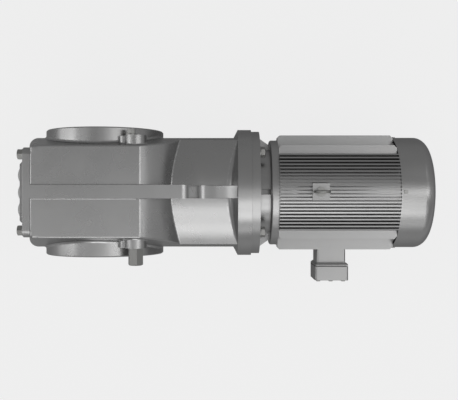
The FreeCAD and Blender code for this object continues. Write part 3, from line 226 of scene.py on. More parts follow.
# %% [markdown]
# ## The lamps
# Satin paint shows its form by what it mirrors. In the photograph the round shapes carry a bright band on
# the side of the terminal box and a weaker one past each end, and the flat tops stay mid grey. A few big
# lamps would give the bands but not their tones. So long soft boxes stand in arcs over the object, each
# named by its angle from straight up, and each with the power that brings the faces which mirror it to the
# tone in the photograph.

# %% Lamps
AIM = Vector((0.3, 0.0, 0.0))
ALONG, WIDE, ACROSS, CORNER = (5.8, 1.5), (7.8, 1.5), (1.5, 5.2), (2.6, 2.6)
# name: place, size across and up, watts
LAMPS = {
    "side_8": ((0.3, -1.0, 7.13), ALONG, 7.4),
    "side_20": ((0.3, -2.46, 6.77), ALONG, 47.8),
    "side_32": ((0.3, -3.82, 6.11), ALONG, 35.0),
    "side_44": ((0.3, -5.0, 5.18), ALONG, 56.0),
    "side_56": ((1.3, -5.97, 4.03), WIDE, 12.0),
    "side_70": ((1.3, -6.77, 2.46), WIDE, 32.0),
    "end_14": ((2.04, 0.0, 6.99), ACROSS, 5.2),
    "end_26": ((3.46, 0.0, 6.47), ACROSS, 18.0),
    "end_38": ((4.73, 0.0, 5.67), ACROSS, 36.0),
    "corner_far": ((4.26, 3.96, 4.5), CORNER, 6.0),
    "corner_near": ((4.26, -3.96, 4.5), CORNER, 12.0),
    "end_75": ((7.25, 0.0, 1.86), ACROSS, 5.4),
    "rear_18": ((-1.92, 0.0, 6.85), ACROSS, 3.8),
    "rear_45": ((-4.79, 0.15, 5.09), ACROSS, 18.0),
    "rear_70": ((-6.46, 0.22, 2.46), ACROSS, 40.0),
}


def softbox(name, place, size, power):
    """A rectangular lamp that faces the middle of the object."""
    lamp = bpy.data.lights.new(name, "AREA")
    lamp.shape = "RECTANGLE"
    lamp.size, lamp.size_y = size
    lamp.energy = power
    holder = place_in_scene(name, lamp)
    holder.location = place
    holder.rotation_euler = (AIM - Vector(place)).to_track_quat("-Z", "Y").to_euler()


for name, (place, size, power) in LAMPS.items():
    softbox(name, place, size, power)
print("lamps", sorted(LAMPS))

# %% [markdown]
# ## The room
# The world is the light that comes from everywhere else. It is dim, so that it only opens the shadows. The
# camera sees about the floor's pale tone in it, so that no horizon shows where the floor ends.

# %% World
WORLD_LIGHT, WORLD_PAPER = 0.26, 0.855
WORLD_SEEN = {"Is Camera Ray": 1.0, "Is Glossy Ray": 0.1, "Is Transmission Ray": 1.0}
world = bpy.data.worlds.new("room")
world.use_nodes = True
room = world.node_tree
room.nodes.clear()
dim = add_node(room, "ShaderNodeBackground", {"Strength": WORLD_LIGHT, "Color": grey(1.0)})
pale = add_node(room, "ShaderNodeBackground", {"Color": grey(WORLD_PAPER)})
both = two_shaders(room, ray_share(room, WORLD_SEEN), dim, pale)
add_node(room, "ShaderNodeOutputWorld", {"Surface": both.outputs[0]})
bpy.context.scene.world = world
print("world light", WORLD_LIGHT)

# %% [markdown]
# ## Effects that several finishes share
# Cast and painted metal is never quite even. Three small groups are built once, and each finish takes the
# ones it needs with its own values. The first is the skin of a casting: fine bumps that the sand or the
# die leaves, over slow patches that also vary the gloss. Noise makes both, at a fine and a coarse scale.

# %% Casting skin
PATCH_IN_HEIGHT = 0.4
GROUPS = {}


def new_group(name, inputs, outputs):
    """An empty shader group with named float inputs and outputs."""
    group = bpy.data.node_groups.new(name, "ShaderNodeTree")
    for label, value in inputs:
        socket = group.interface.new_socket(label, in_out="INPUT", socket_type="NodeSocketFloat")
        socket.default_value = value
    for label in outputs:
        group.interface.new_socket(label, in_out="OUTPUT", socket_type="NodeSocketFloat")
    return group, group.nodes.new("NodeGroupInput"), group.nodes.new("NodeGroupOutput")


def noise(tree, place, scale, detail):
    """A noise texture over the given place."""
    inputs = {"Detail": detail, "Scale": scale, "Vector": place}
    return add_node(tree, "ShaderNodeTexNoise", inputs).outputs["Fac"]


def casting_skin():
    """Fine bumps of sand or die, with slow patches that vary the gloss."""
    group, given, made = new_group("casting_skin", [("Grain", 900.0), ("Patch", 14.0)], ["Height", "Patches"])
    place = add_node(group, "ShaderNodeTexCoord").outputs["Object"]
    fine = noise(group, place, given.outputs["Grain"], 3.0)
    coarse = noise(group, place, given.outputs["Patch"], 2.0)
    height = math_node(group, "ADD", fine, math_node(group, "MULTIPLY", coarse, PATCH_IN_HEIGHT))
    group.links.new(height, made.inputs["Height"])
    group.links.new(coarse, made.inputs["Patches"])
    return group


GROUPS["skin"] = casting_skin()
print("group", GROUPS["skin"].name)

# %% [markdown]
# ## Worn edges and painted highlights
# Hands, spanners and slings polish the outer edges of a machine first, and on the case the same pale edge
# also stands as a painted highlight. A Bevel node gives the normal that the surface would have with rounded
# edges. Where it turns away from the true normal, an edge is near, and noise breaks the line up so that it
# doesn't look drawn.

# %% Edge wear and painted highlight
# The paler edge that this mask gives is wear, and on the case it is also a painted highlight.
EDGE_MASK_TURN, EDGE_MASK_BREAK, EDGE_MASK_NOISE = (0.02, 0.20), (0.35, 0.65), 120.0


def edge_wear_and_highlight():
    """How near a point is to an outer edge, broken up by noise."""
    group, given, made = new_group("edge_wear_and_highlight", [("Radius", 0.0015), ("Amount", 0.6)], ["Mask"])
    rounded = add_node(group, "ShaderNodeBevel", {"Radius": given.outputs["Radius"]}, samples=4)
    true_normal = add_node(group, "ShaderNodeNewGeometry").outputs["Normal"]
    dot = add_node(group, "ShaderNodeVectorMath", operation="DOT_PRODUCT")
    group.links.new(rounded.outputs[0], dot.inputs[0])
    group.links.new(true_normal, dot.inputs[1])
    turn = math_node(group, "SUBTRACT", 1.0, dot.outputs["Value"])
    place = add_node(group, "ShaderNodeTexCoord").outputs["Object"]
    broken = ramp(group, noise(group, place, EDGE_MASK_NOISE, 4.0), *EDGE_MASK_BREAK)
    mask = math_node(group, "MULTIPLY", ramp(group, turn, *EDGE_MASK_TURN), broken)
    group.links.new(math_node(group, "MULTIPLY", mask, given.outputs["Amount"]), made.inputs["Mask"])
    return group


GROUPS["wear_and_highlight_amount"] = edge_wear_and_highlight()
print("group", GROUPS["wear_and_highlight_amount"].name)

# %% [markdown]
# ## Dust
# Workshop dust lies on what faces up and comes off what doesn't. The mask follows the normal's Z, and slow
# noise makes it thicker in some places than in others.

# %% Settled dust
DUST_FACING, DUST_PATCHES, DUST_NOISE = (0.6, 1.0), (0.3, 0.75), 9.0


def settled_dust():
    """A thin veil on faces that look up, thicker in slow patches."""
    group, given, made = new_group("settled_dust", [("Amount", 0.15)], ["Mask"])
    normal = add_node(group, "ShaderNodeNewGeometry").outputs["Normal"]
    split = add_node(group, "ShaderNodeSeparateXYZ", {"Vector": normal})
    place = add_node(group, "ShaderNodeTexCoord").outputs["Object"]
    patches = ramp(group, noise(group, place, DUST_NOISE, 3.0), *DUST_PATCHES)
    veil = math_node(group, "MULTIPLY", ramp(group, split.outputs["Z"], *DUST_FACING), patches)
    group.links.new(math_node(group, "MULTIPLY", veil, given.outputs["Amount"]), made.inputs["Mask"])
    return group


GROUPS["dust"] = settled_dust()
print("group", GROUPS["dust"].name)

# %% [markdown]
# ## Paint
# All the castings and the fan cover carry one neutral satin grey, which in this light reads like metal. So
# the shader is nearly pure metal of middle roughness. The colour could be one flat tone, but real paint
# varies by patches, goes pale at rubbed edges and dull under dust. On the case the pale edges are wider and
# brighter, as a painted highlight. The finishes differ in grain: sand casting is coarse, die casting finer,
# pressed sheet nearly smooth.

# %% Painted finish
PAINT, PAINT_METALLIC, PAINT_SPREAD, WORN_AND_LIT_EDGE = 0.38, 0.95, 0.06, 1.5
PAINT_PATCH, GLOSS_SPREAD, PAINT_BUMP = 14.0, 0.10, 0.35
DUST_TONE, PAINT_DUST = (0.42, 0.41, 0.39, 1.0), 0.12


def place_group(tree, key, **values):
    """One of the shared groups with its own values."""
    return add_node(tree, "ShaderNodeGroup", values, node_tree=GROUPS[key])


def blend_colour(tree, factor, first, second):
    """A colour mix. first and second are colours or outputs."""
    node = add_node(tree, "ShaderNodeMix", {"Factor": factor}, data_type="RGBA")
    for label, value in (("A", first), ("B", second)):
        feed(tree, next(s for s in node.inputs if s.name == label and s.type == "RGBA"), value)
    return next(s for s in node.outputs if s.type == "RGBA")


def varied(tree, mask, middle, spread):
    """A value that the mask moves up and down by half the spread."""
    return math_node(tree, "ADD", math_node(tree, "MULTIPLY", mask, spread), middle - spread / 2)


def surface(tree, out, tone, gloss, metallic, height, strength, depth):
    """A Principled shader with its colour, roughness and bump, on the material's output."""
    bump = add_node(tree, "ShaderNodeBump", {"Strength": strength, "Distance": depth, "Height": height})
    shader = add_node(tree, "ShaderNodeBsdfPrincipled", {"Base Color": tone, "Roughness": gloss,
                                                         "Metallic": metallic, "Normal": bump.outputs[0]})
    tree.links.new(shader.outputs[0], out.inputs["Surface"])


def painted(name, roughness, grain, depth, wear_and_highlight_amount, wear_and_highlight_radius=0.0012):
    """Satin paint: grain in the normal, patches in tone and gloss, pale edges for wear and a painted
    highlight, and a little dust.
    """
    material, tree, out = new_material(name)
    skin = place_group(tree, "skin", Grain=grain, Patch=PAINT_PATCH)
    worn_and_lit_edge = place_group(tree, "wear_and_highlight_amount", Radius=wear_and_highlight_radius, Amount=wear_and_highlight_amount)
    veil = place_group(tree, "dust", Amount=PAINT_DUST)
    tone = blend_colour(tree, skin.outputs["Patches"], grey(PAINT * (1 - PAINT_SPREAD)),
                        grey(PAINT * (1 + PAINT_SPREAD)))
    tone = blend_colour(tree, worn_and_lit_edge.outputs["Mask"], tone, grey(PAINT * WORN_AND_LIT_EDGE))
    tone = blend_colour(tree, veil.outputs["Mask"], tone, DUST_TONE)
    gloss = varied(tree, skin.outputs["Patches"], roughness, GLOSS_SPREAD)
    surface(tree, out, tone, gloss, PAINT_METALLIC, skin.outputs["Height"], PAINT_BUMP, depth)
    return material


# On the case the pale edge band is wide and strong, which is wear and a painted highlight. The motor and the
# cover get only a little edge wear.
FINISH = {
    "housing_paint": painted("housing_paint", 0.28, 900.0, 0.00012, wear_and_highlight_amount=0.6, wear_and_highlight_radius=0.002),
    "motor_paint": painted("motor_paint", 0.32, 1100.0, 0.0001, wear_and_highlight_amount=0.1),
    "cover_paint": painted("cover_paint", 0.31, 1800.0, 0.0001, wear_and_highlight_amount=0.1),
}
print("paints", sorted(FINISH))

# %% [markdown]
# ## Bare metal
# Screws are zinc plated, shafts are turned, and gears and bearing rings are ground. A tool leaves fine
# lines across its axis, and they spread a highlight more than a smooth face would. Noise that a Mapping
# node squeezes along the axis makes such lines, and they drive tone, roughness and bump together.

# %% Bare finish
FINE_LINES, SLOW_LINES, LINE_DEPTH = 2600.0, 40.0, 0.0001
LINE_SHADE, LINE_GLOSS, BARE_RUB, BRIGHT_EDGE = 0.86, 0.12, 0.0008, 0.8


def bare(name, colour, roughness, streak, axis, wear_and_highlight_amount=0.0):
    """Bare metal with the fine marks of turning or grinding, which run across the given axis."""
    material, tree, out = new_material(name)
    place = add_node(tree, "ShaderNodeTexCoord").outputs["Object"]
    scale = [FINE_LINES if letter == axis else SLOW_LINES for letter in "XYZ"]
    squeezed = add_node(tree, "ShaderNodeMapping", {"Vector": place, "Scale": scale})
    lines = noise(tree, squeezed.outputs[0], 1.0, 2.0)
    worn_and_lit_edge = place_group(tree, "wear_and_highlight_amount", Radius=BARE_RUB, Amount=wear_and_highlight_amount)
    tone = blend_colour(tree, lines, [c * LINE_SHADE for c in colour] + [1.0], [*colour, 1.0])
    tone = blend_colour(tree, worn_and_lit_edge.outputs["Mask"], tone, grey(BRIGHT_EDGE))
    surface(tree, out, tone, varied(tree, lines, roughness, LINE_GLOSS), 1.0, lines, streak, LINE_DEPTH)
    return material


FINISH |= {
    "bolt_steel": bare("bolt_steel", (0.36, 0.36, 0.35), 0.38, 0.1, "Z", wear_and_highlight_amount=0.2),
    "shaft_steel": bare("shaft_steel", (0.60, 0.60, 0.59), 0.28, 0.3, "Y"),
    "gear_steel": bare("gear_steel", (0.46, 0.45, 0.43), 0.32, 0.2, "Y", wear_and_highlight_amount=0.5),
    "bearing_steel": bare("bearing_steel", (0.70, 0.70, 0.70), 0.20, 0.1, "Y"),
    "core_plate": bare("core_plate", (0.26, 0.26, 0.27), 0.50, 0.6, "X"),
    "copper_wire": bare("copper_wire", (0.64, 0.30, 0.15), 0.35, 0.6, "X"),
}
print("finishes so far", len(FINISH))

# %% [markdown]
# ## Rubber, gasket sheet and plastic
# Seals, gaskets, the fan and the terminal board are no metal. They share a dull surface with a fine grain,
# which the same casting skin gives at other scales, and dust shows more on their dark tones.

# %% Soft finish
SOFT_PATCH, SOFT_SPREAD, SOFT_GLOSS, SOFT_BUMP, SOFT_DEPTH = 20.0, 0.15, 0.1, 0.4, 0.0002
SOFT_DUST_TONE, SOFT_DUST = (0.3, 0.29, 0.27, 1.0), 0.2


def plain_soft(name, colour, roughness, grain):
    """No metal, fine grain."""
    material, tree, out = new_material(name)
    skin = place_group(tree, "skin", Grain=grain, Patch=SOFT_PATCH)
    veil = place_group(tree, "dust", Amount=SOFT_DUST)
    darker, lighter = [[c * share for c in colour] + [1.0] for share in (1 - SOFT_SPREAD, 1 + SOFT_SPREAD)]
    tone = blend_colour(tree, skin.outputs["Patches"], darker, lighter)
    tone = blend_colour(tree, veil.outputs["Mask"], tone, SOFT_DUST_TONE)
    gloss = varied(tree, skin.outputs["Patches"], roughness, SOFT_GLOSS)
    surface(tree, out, tone, gloss, 0.0, skin.outputs["Height"], SOFT_BUMP, SOFT_DEPTH)
    return material


FINISH |= {
    "seal_rubber": plain_soft("seal_rubber", (0.03, 0.03, 0.03), 0.55, 1500.0),
    "gasket_sheet": plain_soft("gasket_sheet", (0.07, 0.07, 0.07), 0.75, 2200.0),
    "fan_plastic": plain_soft("fan_plastic", (0.04, 0.04, 0.04), 0.45, 900.0),
    "board_plastic": plain_soft("board_plastic", (0.22, 0.10, 0.05), 0.45, 900.0),
}
print("finishes", len(FINISH))

# %% [markdown]
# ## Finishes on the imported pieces
# The record names a material slot for each piece, and the finishes above carry the same names. The small
# inner pieces keep their own mesh and only take their finish, because hardly anything of them is seen.

# %% Finishes on the CAD pieces
SLOT_OF = {row["node"]: row["material_slot"] for row in frame["record"]["subparts"]}


def set_finish(piece, slot_name):
    """Gives a mesh piece one finish and no other."""
    piece.data.materials.clear()
    piece.data.materials.append(FINISH[slot_name])


for name, node in nodes.items():
    set_finish(node, SLOT_OF[name])
print("finishes on", len(nodes), "pieces")

# %% [markdown]
# ## Dressing a CAD piece
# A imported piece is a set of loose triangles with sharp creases. A copy is welded, its flat faces are made
# whole again and its creases get a narrow round edge, as paint and handling leave on every real edge. A
# Bevel modifier does that, and a Weighted Normal modifier keeps the large faces flat in the light. The copy
# then stands for the piece.

# %% Dressing
WELD_DISTANCE, FLAT_ANGLE = 1e-5, 0.6
CREASE_ANGLE, ROUND_SEGMENTS = 32.0, 2


def welded_copy(name):
    """A copy of a CAD node's mesh with its loose triangles joined and its flat faces whole."""
    mesh = nodes[name].data.copy()
    work = bmesh.new()
    work.from_mesh(mesh)
    bmesh.ops.remove_doubles(work, verts=work.verts, dist=WELD_DISTANCE)
    bmesh.ops.dissolve_limit(work, angle_limit=math.radians(FLAT_ANGLE), verts=work.verts, edges=work.edges)
    work.to_mesh(mesh)
    work.free()
    return mesh


def apply_modifiers(piece):
    """Turns the evaluated result into the piece's plain mesh."""
    bpy.context.view_layer.update()
    evaluated = piece.evaluated_get(bpy.context.evaluated_depsgraph_get())
    mesh = bpy.data.meshes.new_from_object(evaluated)
    piece.modifiers.clear()
    piece.data = mesh


def round_edges(piece, width, angle=CREASE_ANGLE):
    """Rounds the creases, or with no width only keeps them sharp, and evens the shading of large faces."""
    if width:
        bevel = piece.modifiers.new("round edges", "BEVEL")
        bevel.width = width
        bevel.segments = ROUND_SEGMENTS
        bevel.limit_method = "ANGLE"
        bevel.angle_limit = math.radians(angle)
        bevel.miter_outer = "MITER_ARC"
        bevel.harden_normals = True
    else:
        piece.data.set_sharp_from_angle(angle=math.radians(angle))
    even = piece.modifiers.new("even shading", "WEIGHTED_NORMAL")
    even.keep_sharp = True
    apply_modifiers(piece)


def stand_for(piece, node_name):
    """Says that the piece takes the place of a CAD node of the fixed housing."""
    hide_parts(node_name)
    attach(piece, "root")


def dress(name, width, angle, reshape):
    """Replaces a CAD node by its welded copy with round edges. reshape moves single corners first."""
    mesh = welded_copy(name)
    if reshape:
        for vertex in mesh.vertices:
            vertex.co = Vector(reshape(*[v / MM for v in vertex.co])) * MM
    mesh.polygons.foreach_set("use_smooth", [True] * len(mesh.polygons))
    piece = place_in_scene(name + "_dressed", mesh)
    round_edges(piece, width, angle)
    set_finish(piece, SLOT_OF[name])
    stand_for(piece, name)
    return piece


print("dressing tools ready")

# %% [markdown]
# ## Small changes of shape
# Three forms differ a little between the solids and the photograph. Each is moved in the welded copy,
# corner by corner, which keeps the faces as they are: the terminal box is a little wider, the gaps between
# the upright fins are shallower, as the draft of a casting makes them, and the hub discs are a little
# smaller.

# %% Small changes of shape
BOX_MIDDLE_X, BOX_GROWTH = 556.0, 3.0
GAP_FLOOR_R, GAP_NEAR, SHALLOW_FLOOR_R, UPRIGHT_HALF = 117.0, 0.5, 130.0, 90.0
SOLID_HUB_R, SOLID_HUB_LIP_R, HUB_SHRINK, HUB_SHIFT = 145.0, 142.5, 0.984, 1.2
HUB_ROOT_Y, HUB_LIP_Y, HUB_NEAR = 108.0, 149.0, 0.3


def wider_box(x, y, z):
    """The terminal box's right-hand side, a little further out."""
    return (x + BOX_GROWTH if x > BOX_MIDDLE_X else x, y, z)


def shallower_gaps(x, y, z):
    """The floor between the upright fins, lifted to a larger round."""
    if abs(math.hypot(y, z) - GAP_FLOOR_R) < GAP_NEAR and abs(y) < UPRIGHT_HALF:
        z = math.copysign(math.sqrt(SHALLOW_FLOOR_R ** 2 - y * y), z)
    return (x, y, z)


def smaller_hub(x, y, z):
    """The hub discs' rim and the lip of their face, a little smaller."""
    radius = math.hypot(x, z)
    on_rim = abs(y) > HUB_ROOT_Y and abs(radius - SOLID_HUB_R) < HUB_NEAR
    on_lip = abs(y) > HUB_LIP_Y and abs(radius - SOLID_HUB_LIP_R) < HUB_NEAR
    return (x * HUB_SHRINK + HUB_SHIFT, y, z * HUB_SHRINK) if on_rim or on_lip else (x, y, z)


RESHAPE = {"terminal_box": wider_box, "terminal_box_lid": wider_box, "motor_frame": shallower_gaps,
           "gear_case": smaller_hub}
print("reshaped", sorted(RESHAPE))

# %% [markdown]
# ## Round edges for what is seen
# A cast iron edge is rounder than that of a pressed cover or a screw, so each piece has its own width, in
# millimetres. The finned frame has no bevel: its many thin fins would only get heavier, and flat shading
# with sharp edges shows them better.

# %% Visible CAD pieces with round edges
FRAME_ANGLE = 4.0
EDGE_WIDTHS = {
    "gear_case": 1.2, "rear_cover": 1.2, "drive_end_shield": 1.0, "terminal_box": 0.8,
    "terminal_box_lid": 1.0, "breather_valve": 0.6, "filler_plug": 0.6, "oil_level_plug": 0.6,
    "drain_plug": 0.6, "lifting_eye_bolt": 0.5, "fan_cover": 0.4, "fan_cover_screws": 0.5,
    "terminal_lid_screws": 0.5, "cable_entry_plug": 0.6, "motor_frame": 0.0,
}
for name, width in EDGE_WIDTHS.items():
    piece = dress(name, width * MM, CREASE_ANGLE if width else FRAME_ANGLE, RESHAPE.get(name))
    print(name, len(piece.data.polygons), "faces")

# %% [markdown]
# ## Cast fillets
# A pattern maker rounds every inner corner. A bevel can't do that where two pieces of surface only cross,
# so each bead here is the path of a ball that rolls along the corner and touches both faces. For each spot
# it takes the ball's centre and the two directions to the faces. The sizes are those of the solids, in
# millimetres.

# %% Bead maker
SHARP_ANGLE, BEAD_OVERLAP = 38.0, 1.04


def new_piece(name, work, slot_name):
    """Turns a bmesh in millimetres into a finished piece of the fixed housing."""
    bmesh.ops.recalc_face_normals(work, faces=work.faces)
    bmesh.ops.scale(work, vec=(MM, MM, MM), verts=work.verts)
    mesh = bpy.data.meshes.new(name)
    work.to_mesh(mesh)
    work.free()
    for polygon in mesh.polygons:
        polygon.use_smooth = len(polygon.vertices) == 4
    mesh.set_sharp_from_angle(angle=math.radians(SHARP_ANGLE))
    piece = place_in_scene(name, mesh)
    set_finish(piece, slot_name)
    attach(piece, "root")
    print(name, len(mesh.polygons), "faces")


def loft(work, rings, closed=False):
    """Joins rings of points into a skin, with an end face at each end or closed on itself."""
    following = rings[1:] + rings[:1] if closed else rings[1:]
    for near, far in zip(rings, following):
        for k in range(len(near)):
            after = (k + 1) % len(near)
            work.faces.new((near[k], near[after], far[after], far[k]))
    if not closed:
        work.faces.new(rings[0])
        work.faces.new(rings[-1])


def add_bead(work, spots, radius, closed=False, steps=5):
    """One bead. spots holds the ball's centre, its ways to both faces and, where it varies, its radius."""
    rings = []
    for centre, first, second, *own in spots:
        ball = own[0] if own else radius
        corner = centre + (first + second) * ball * BEAD_OVERLAP / (1 + first.dot(second))
        arc = [centre + first.slerp(second, k / steps) * ball for k in range(steps + 1)]
        rings.append([work.verts.new(spot) for spot in [corner, *arc]])
    loft(work, rings, closed)


print("bead maker ready")

# %% [markdown]
# ## Beads round the hubs and bosses
# Each hub disc and each round boss for a plug leaves the case's side wall, which is upright below and
# tapers above. The bead follows the boss's circle, and the wall's form says how far out the ball lies. On
# one side the round closing of the intermediate bore crosses the hub, so the bead stops there and starts
# again behind it.

# %% Boss beads
CASE_SIDE, TOP_SIDE, SHOULDER_Z, PAD_Z = 131.0, 104.0, 50.0, 182.5
TAPER = (CASE_SIDE - TOP_SIDE) / (PAD_Z - SHOULDER_Z)
TAPER_LENGTH = math.hypot(1.0, TAPER)
HUB_PLACE, HUB_R, HUB_BEAD = (HUB_SHIFT, 0.0), 142.7, 6.0
CENTRE_DISTANCE, BORE_DROP, CAP_R = 150.0, 60.0, 50.0
CAP_PLACE = (math.sqrt(CENTRE_DISTANCE ** 2 - BORE_DROP ** 2), -BORE_DROP)
# place along and up, radius, radius of the bead, spots round it
SIDE_BOSSES = (((95.0, 150.0), 25.0, 3.0, 72), ((67.0, 137.0), 11.0, 2.0, 40))


def wall_place(z, radius):
    """Where a ball on the case's side wall has its centre, and the way from it to the wall."""
    upright = CASE_SIDE + radius
    sloped = CASE_SIDE - TAPER * (z - SHOULDER_Z) + radius * TAPER_LENGTH
    if sloped < upright:
        return sloped, Vector((0, -1, -TAPER)) / TAPER_LENGTH
    return upright, Vector((0, -1, 0))


def round_boss(work, side, place, boss_r, radius, count, skip=None):
    """The bead where a round boss leaves the side wall. skip is the place and radius of what stops it."""
    spots = []
    for k in range(count):
        angle = 2 * math.pi * k / count
        out = Vector((math.cos(angle), 0, math.sin(angle)))
        spot = Vector((place[0], 0, place[1])) + out * (boss_r + radius)
        if skip and (Vector((spot.x, spot.z)) - Vector(skip[0])).length < skip[1] + radius:
            spots.append(None)
            continue
        spot.y, toward = wall_place(spot.z, radius)
        spots.append([Vector((v.x, side * v.y, v.z)) for v in (spot, toward, -out)])
    if None not in spots:
        add_bead(work, spots, radius, closed=True)
        return
    first = next(k for k in range(count) if spots[k] is None and spots[(k + 1) % count] is not None)
    order = spots[first + 1:] + spots[:first + 1]
    add_bead(work, [spot for spot in order if spot is not None], radius)


beads = bmesh.new()
for side in (-1, 1):
    round_boss(beads, side, HUB_PLACE, HUB_R, HUB_BEAD, 144, (CAP_PLACE, CAP_R) if side > 0 else None)
    for place, boss_r, bead_r, count in SIDE_BOSSES:
        round_boss(beads, side, place, boss_r, bead_r, count)
print("boss beads", len(beads.faces), "faces")

# %% [markdown]
# ## Bead where the motor-side section leaves the drum
# The section's roof is a shallow arc, and the drum is round about the output shaft. The ball rolls across
# the roof and lies at one distance from both.

# %% Drum bead
ROOF_HALF, ROOF_TOP, EAVE = 122.65, 122.6, 91.0
ROOF_R = (ROOF_HALF ** 2 + (ROOF_TOP - EAVE) ** 2) / (2 * (ROOF_TOP - EAVE))
ROOF_CENTRE_Z = ROOF_TOP - ROOF_R
ROOF_LEAN = math.asin(ROOF_HALF / ROOF_R)
ROOF_STEPS = 20
PAD_FRONT_X, DRUM_BEAD = 108.0, 4.5
DRUM_R = math.hypot(PAD_FRONT_X, PAD_Z)


def roof_up(share):
    """The roof's outward direction, with share from -1 at one eave to 1 at the other."""
    return Vector((0, math.sin(ROOF_LEAN * share), math.cos(ROOF_LEAN * share)))


spots = []
for k in range(2 * ROOF_STEPS + 1):
    up = roof_up(k / ROOF_STEPS - 1)
    spot = up * (ROOF_R + DRUM_BEAD) + Vector((0, 0, ROOF_CENTRE_Z))
    spot.x = math.sqrt((DRUM_R + DRUM_BEAD) ** 2 - spot.z ** 2)
    spots.append((spot, -up, -Vector((spot.x, 0, spot.z)).normalized()))
add_bead(beads, spots, DRUM_BEAD)
print("with the drum bead", len(beads.faces), "faces")

# %% [markdown]
# ## Beads along the lifting web
# The web stands on the flat mounting face and runs down the drum. A small bead follows its foot on both
# sides: two spots are enough on the flat, and the drum takes a short step for each degree.

# %% Web beads
WEB_HALF, WEB_BEAD, WEB_FLAT_X = 15.0, 2.0, (-136.0, 100.0)
WEB_START, WEB_SWEEP, WEB_STEPS = 61.0, 26.0, 24

for side in (-1, 1):
    y = side * (WEB_HALF + WEB_BEAD)
    inward, down = Vector((0, -side, 0)), Vector((0, 0, -1))
    spots = [(Vector((x, y, PAD_Z + WEB_BEAD)), inward, down) for x in WEB_FLAT_X]
    for k in range(WEB_STEPS + 1):
        angle = math.radians(WEB_START - WEB_SWEEP * k / WEB_STEPS)
        out = Vector((math.cos(angle), 0, math.sin(angle)))
        spots.append((out * (DRUM_R + WEB_BEAD) + Vector((0, y, 0)), inward, -out))
    add_bead(beads, spots, WEB_BEAD, steps=3)
print("with the web beads", len(beads.faces), "faces")

# %% [markdown]
# ## Bead between the roof and the flange's cone
# Behind the motor flange the case opens in a cone. In the photograph the roof meets it in a wide hollow at
# the middle that runs out at the eaves, so the ball's radius changes along the way.

# %% Cone bead
CONE_START_X, CONE_START_R, CONE_SLOPE = 309.8, 118.0, 1.95
CONE_LENGTH = math.hypot(1.0, CONE_SLOPE)
CONE_BEAD_EDGE, CONE_BEAD_RISE, CONE_BEAD_STEPS = 2.0, 16.0, 7

spots = []
for k in range(2 * ROOF_STEPS + 1):
    share = k / ROOF_STEPS - 1
    ball = CONE_BEAD_EDGE + CONE_BEAD_RISE * (1 - share ** 2)
    up = roof_up(share)
    spot = up * (ROOF_R + ball) + Vector((0, 0, ROOF_CENTRE_Z))
    away = Vector((0, spot.y, spot.z)).normalized()
    spot.x = CONE_START_X + (spot.length - CONE_START_R - CONE_LENGTH * ball) / CONE_SLOPE
    spots.append((spot, -up, (Vector((CONE_SLOPE, 0, 0)) - away) / CONE_LENGTH, ball))
add_bead(beads, spots, CONE_BEAD_EDGE, steps=CONE_BEAD_STEPS)
new_piece("case_fillets", beads, "housing_paint")

# %% [markdown]
# ## Where the roof meets the cone
# The roof of the motor-side section runs on until it meets the cone behind the motor flange. A hollow band
# with the section's own outline closes the step that is left between the two. It is hollow so that the gear
# inside keeps its room.

# %% Roof slice
SLICE_FROM, SLICE_TO, SLICE_THICK, SLICE_SUNK = 314.0, 328.4, 8.0, 0.05
SLICE_SIDE, SLICE_LOW, SLICE_STEPS = 130.9, -74.0, 12

outline = [(-SLICE_SIDE, SLICE_LOW), (-SLICE_SIDE, SHOULDER_Z)]
for k in range(2 * SLICE_STEPS + 1):
    up = roof_up(k / SLICE_STEPS - 1)
    outline.append((ROOF_R * up.y, ROOF_R * up.z + ROOF_CENTRE_Z - SLICE_SUNK))
outline += [(SLICE_SIDE, SHOULDER_Z), (SLICE_SIDE, SLICE_LOW)]
band = bmesh.new()
rings = []
for y, z in outline:
    shrink = 1.0 - SLICE_THICK / math.hypot(y, z)
    inner_y, inner_z = y * shrink, z * shrink if z > 0 else z
    corners = ((SLICE_FROM, y, z), (SLICE_TO, y, z),
               (SLICE_TO, inner_y, inner_z), (SLICE_FROM, inner_y, inner_z))
    rings.append([band.verts.new(spot) for spot in corners])
loft(band, rings)
new_piece("roof_slice", band, "housing_paint")

# %% [markdown]
# ## Corners of the mounting face
# The face on top of the case has square corners, while the case below it is rounded. A loft joins the two:
# each row is the plan of the corner at one height, from a wide round low down to a nearly sharp one at the
# top.

# %% Top corners
# height, how far the edge has turned in, round of the corner in plan
CORNER_ROWS = [(96.0, 0.0, 22.4), (115.0, 0.0, 21.5), (132.0, 0.0, 18.5), (148.0, 0.0, 14.0),
               (162.0, 0.0, 9.0), (172.0, 0.0, 6.0), (178.6, 0.0, 4.5), (180.6, 0.6, 4.2),
               (181.9, 1.9, 4.0), (182.5, 3.9, 4.0), (182.55, 5.0, 4.0)]
CASE_REAR, TOP_REAR = 174.0, 137.0
REAR_LEAN = (CASE_REAR - TOP_REAR) / (PAD_Z - SHOULDER_Z)
CORNER_REACH, PROUD, END_INSET, CORNER_STEPS = 30.0, 0.05, 0.1, 8
TOP_ROWS_FROM, TOP_SUNK = 182.0, 0.15


def corner_plan(z, inset, radius):
    """The corner's outline at one height: inner end, round, outer end and the corner inside the case."""
    half = CASE_SIDE - TAPER * (z - SHOULDER_Z) + PROUD - inset
    rear = -CASE_REAR + REAR_LEAN * (z - SHOULDER_Z) - PROUD + inset
    plan = [(rear + END_INSET, half - CORNER_REACH)]
    for k in range(CORNER_STEPS + 1):
        angle = math.radians(180.0 - 90.0 * k / CORNER_STEPS)
        plan.append((rear + radius * (1 + math.cos(angle)), half - radius * (1 - math.sin(angle))))
    return plan + [(rear + CORNER_REACH, half - END_INSET), (rear + CORNER_REACH, half - CORNER_REACH)]


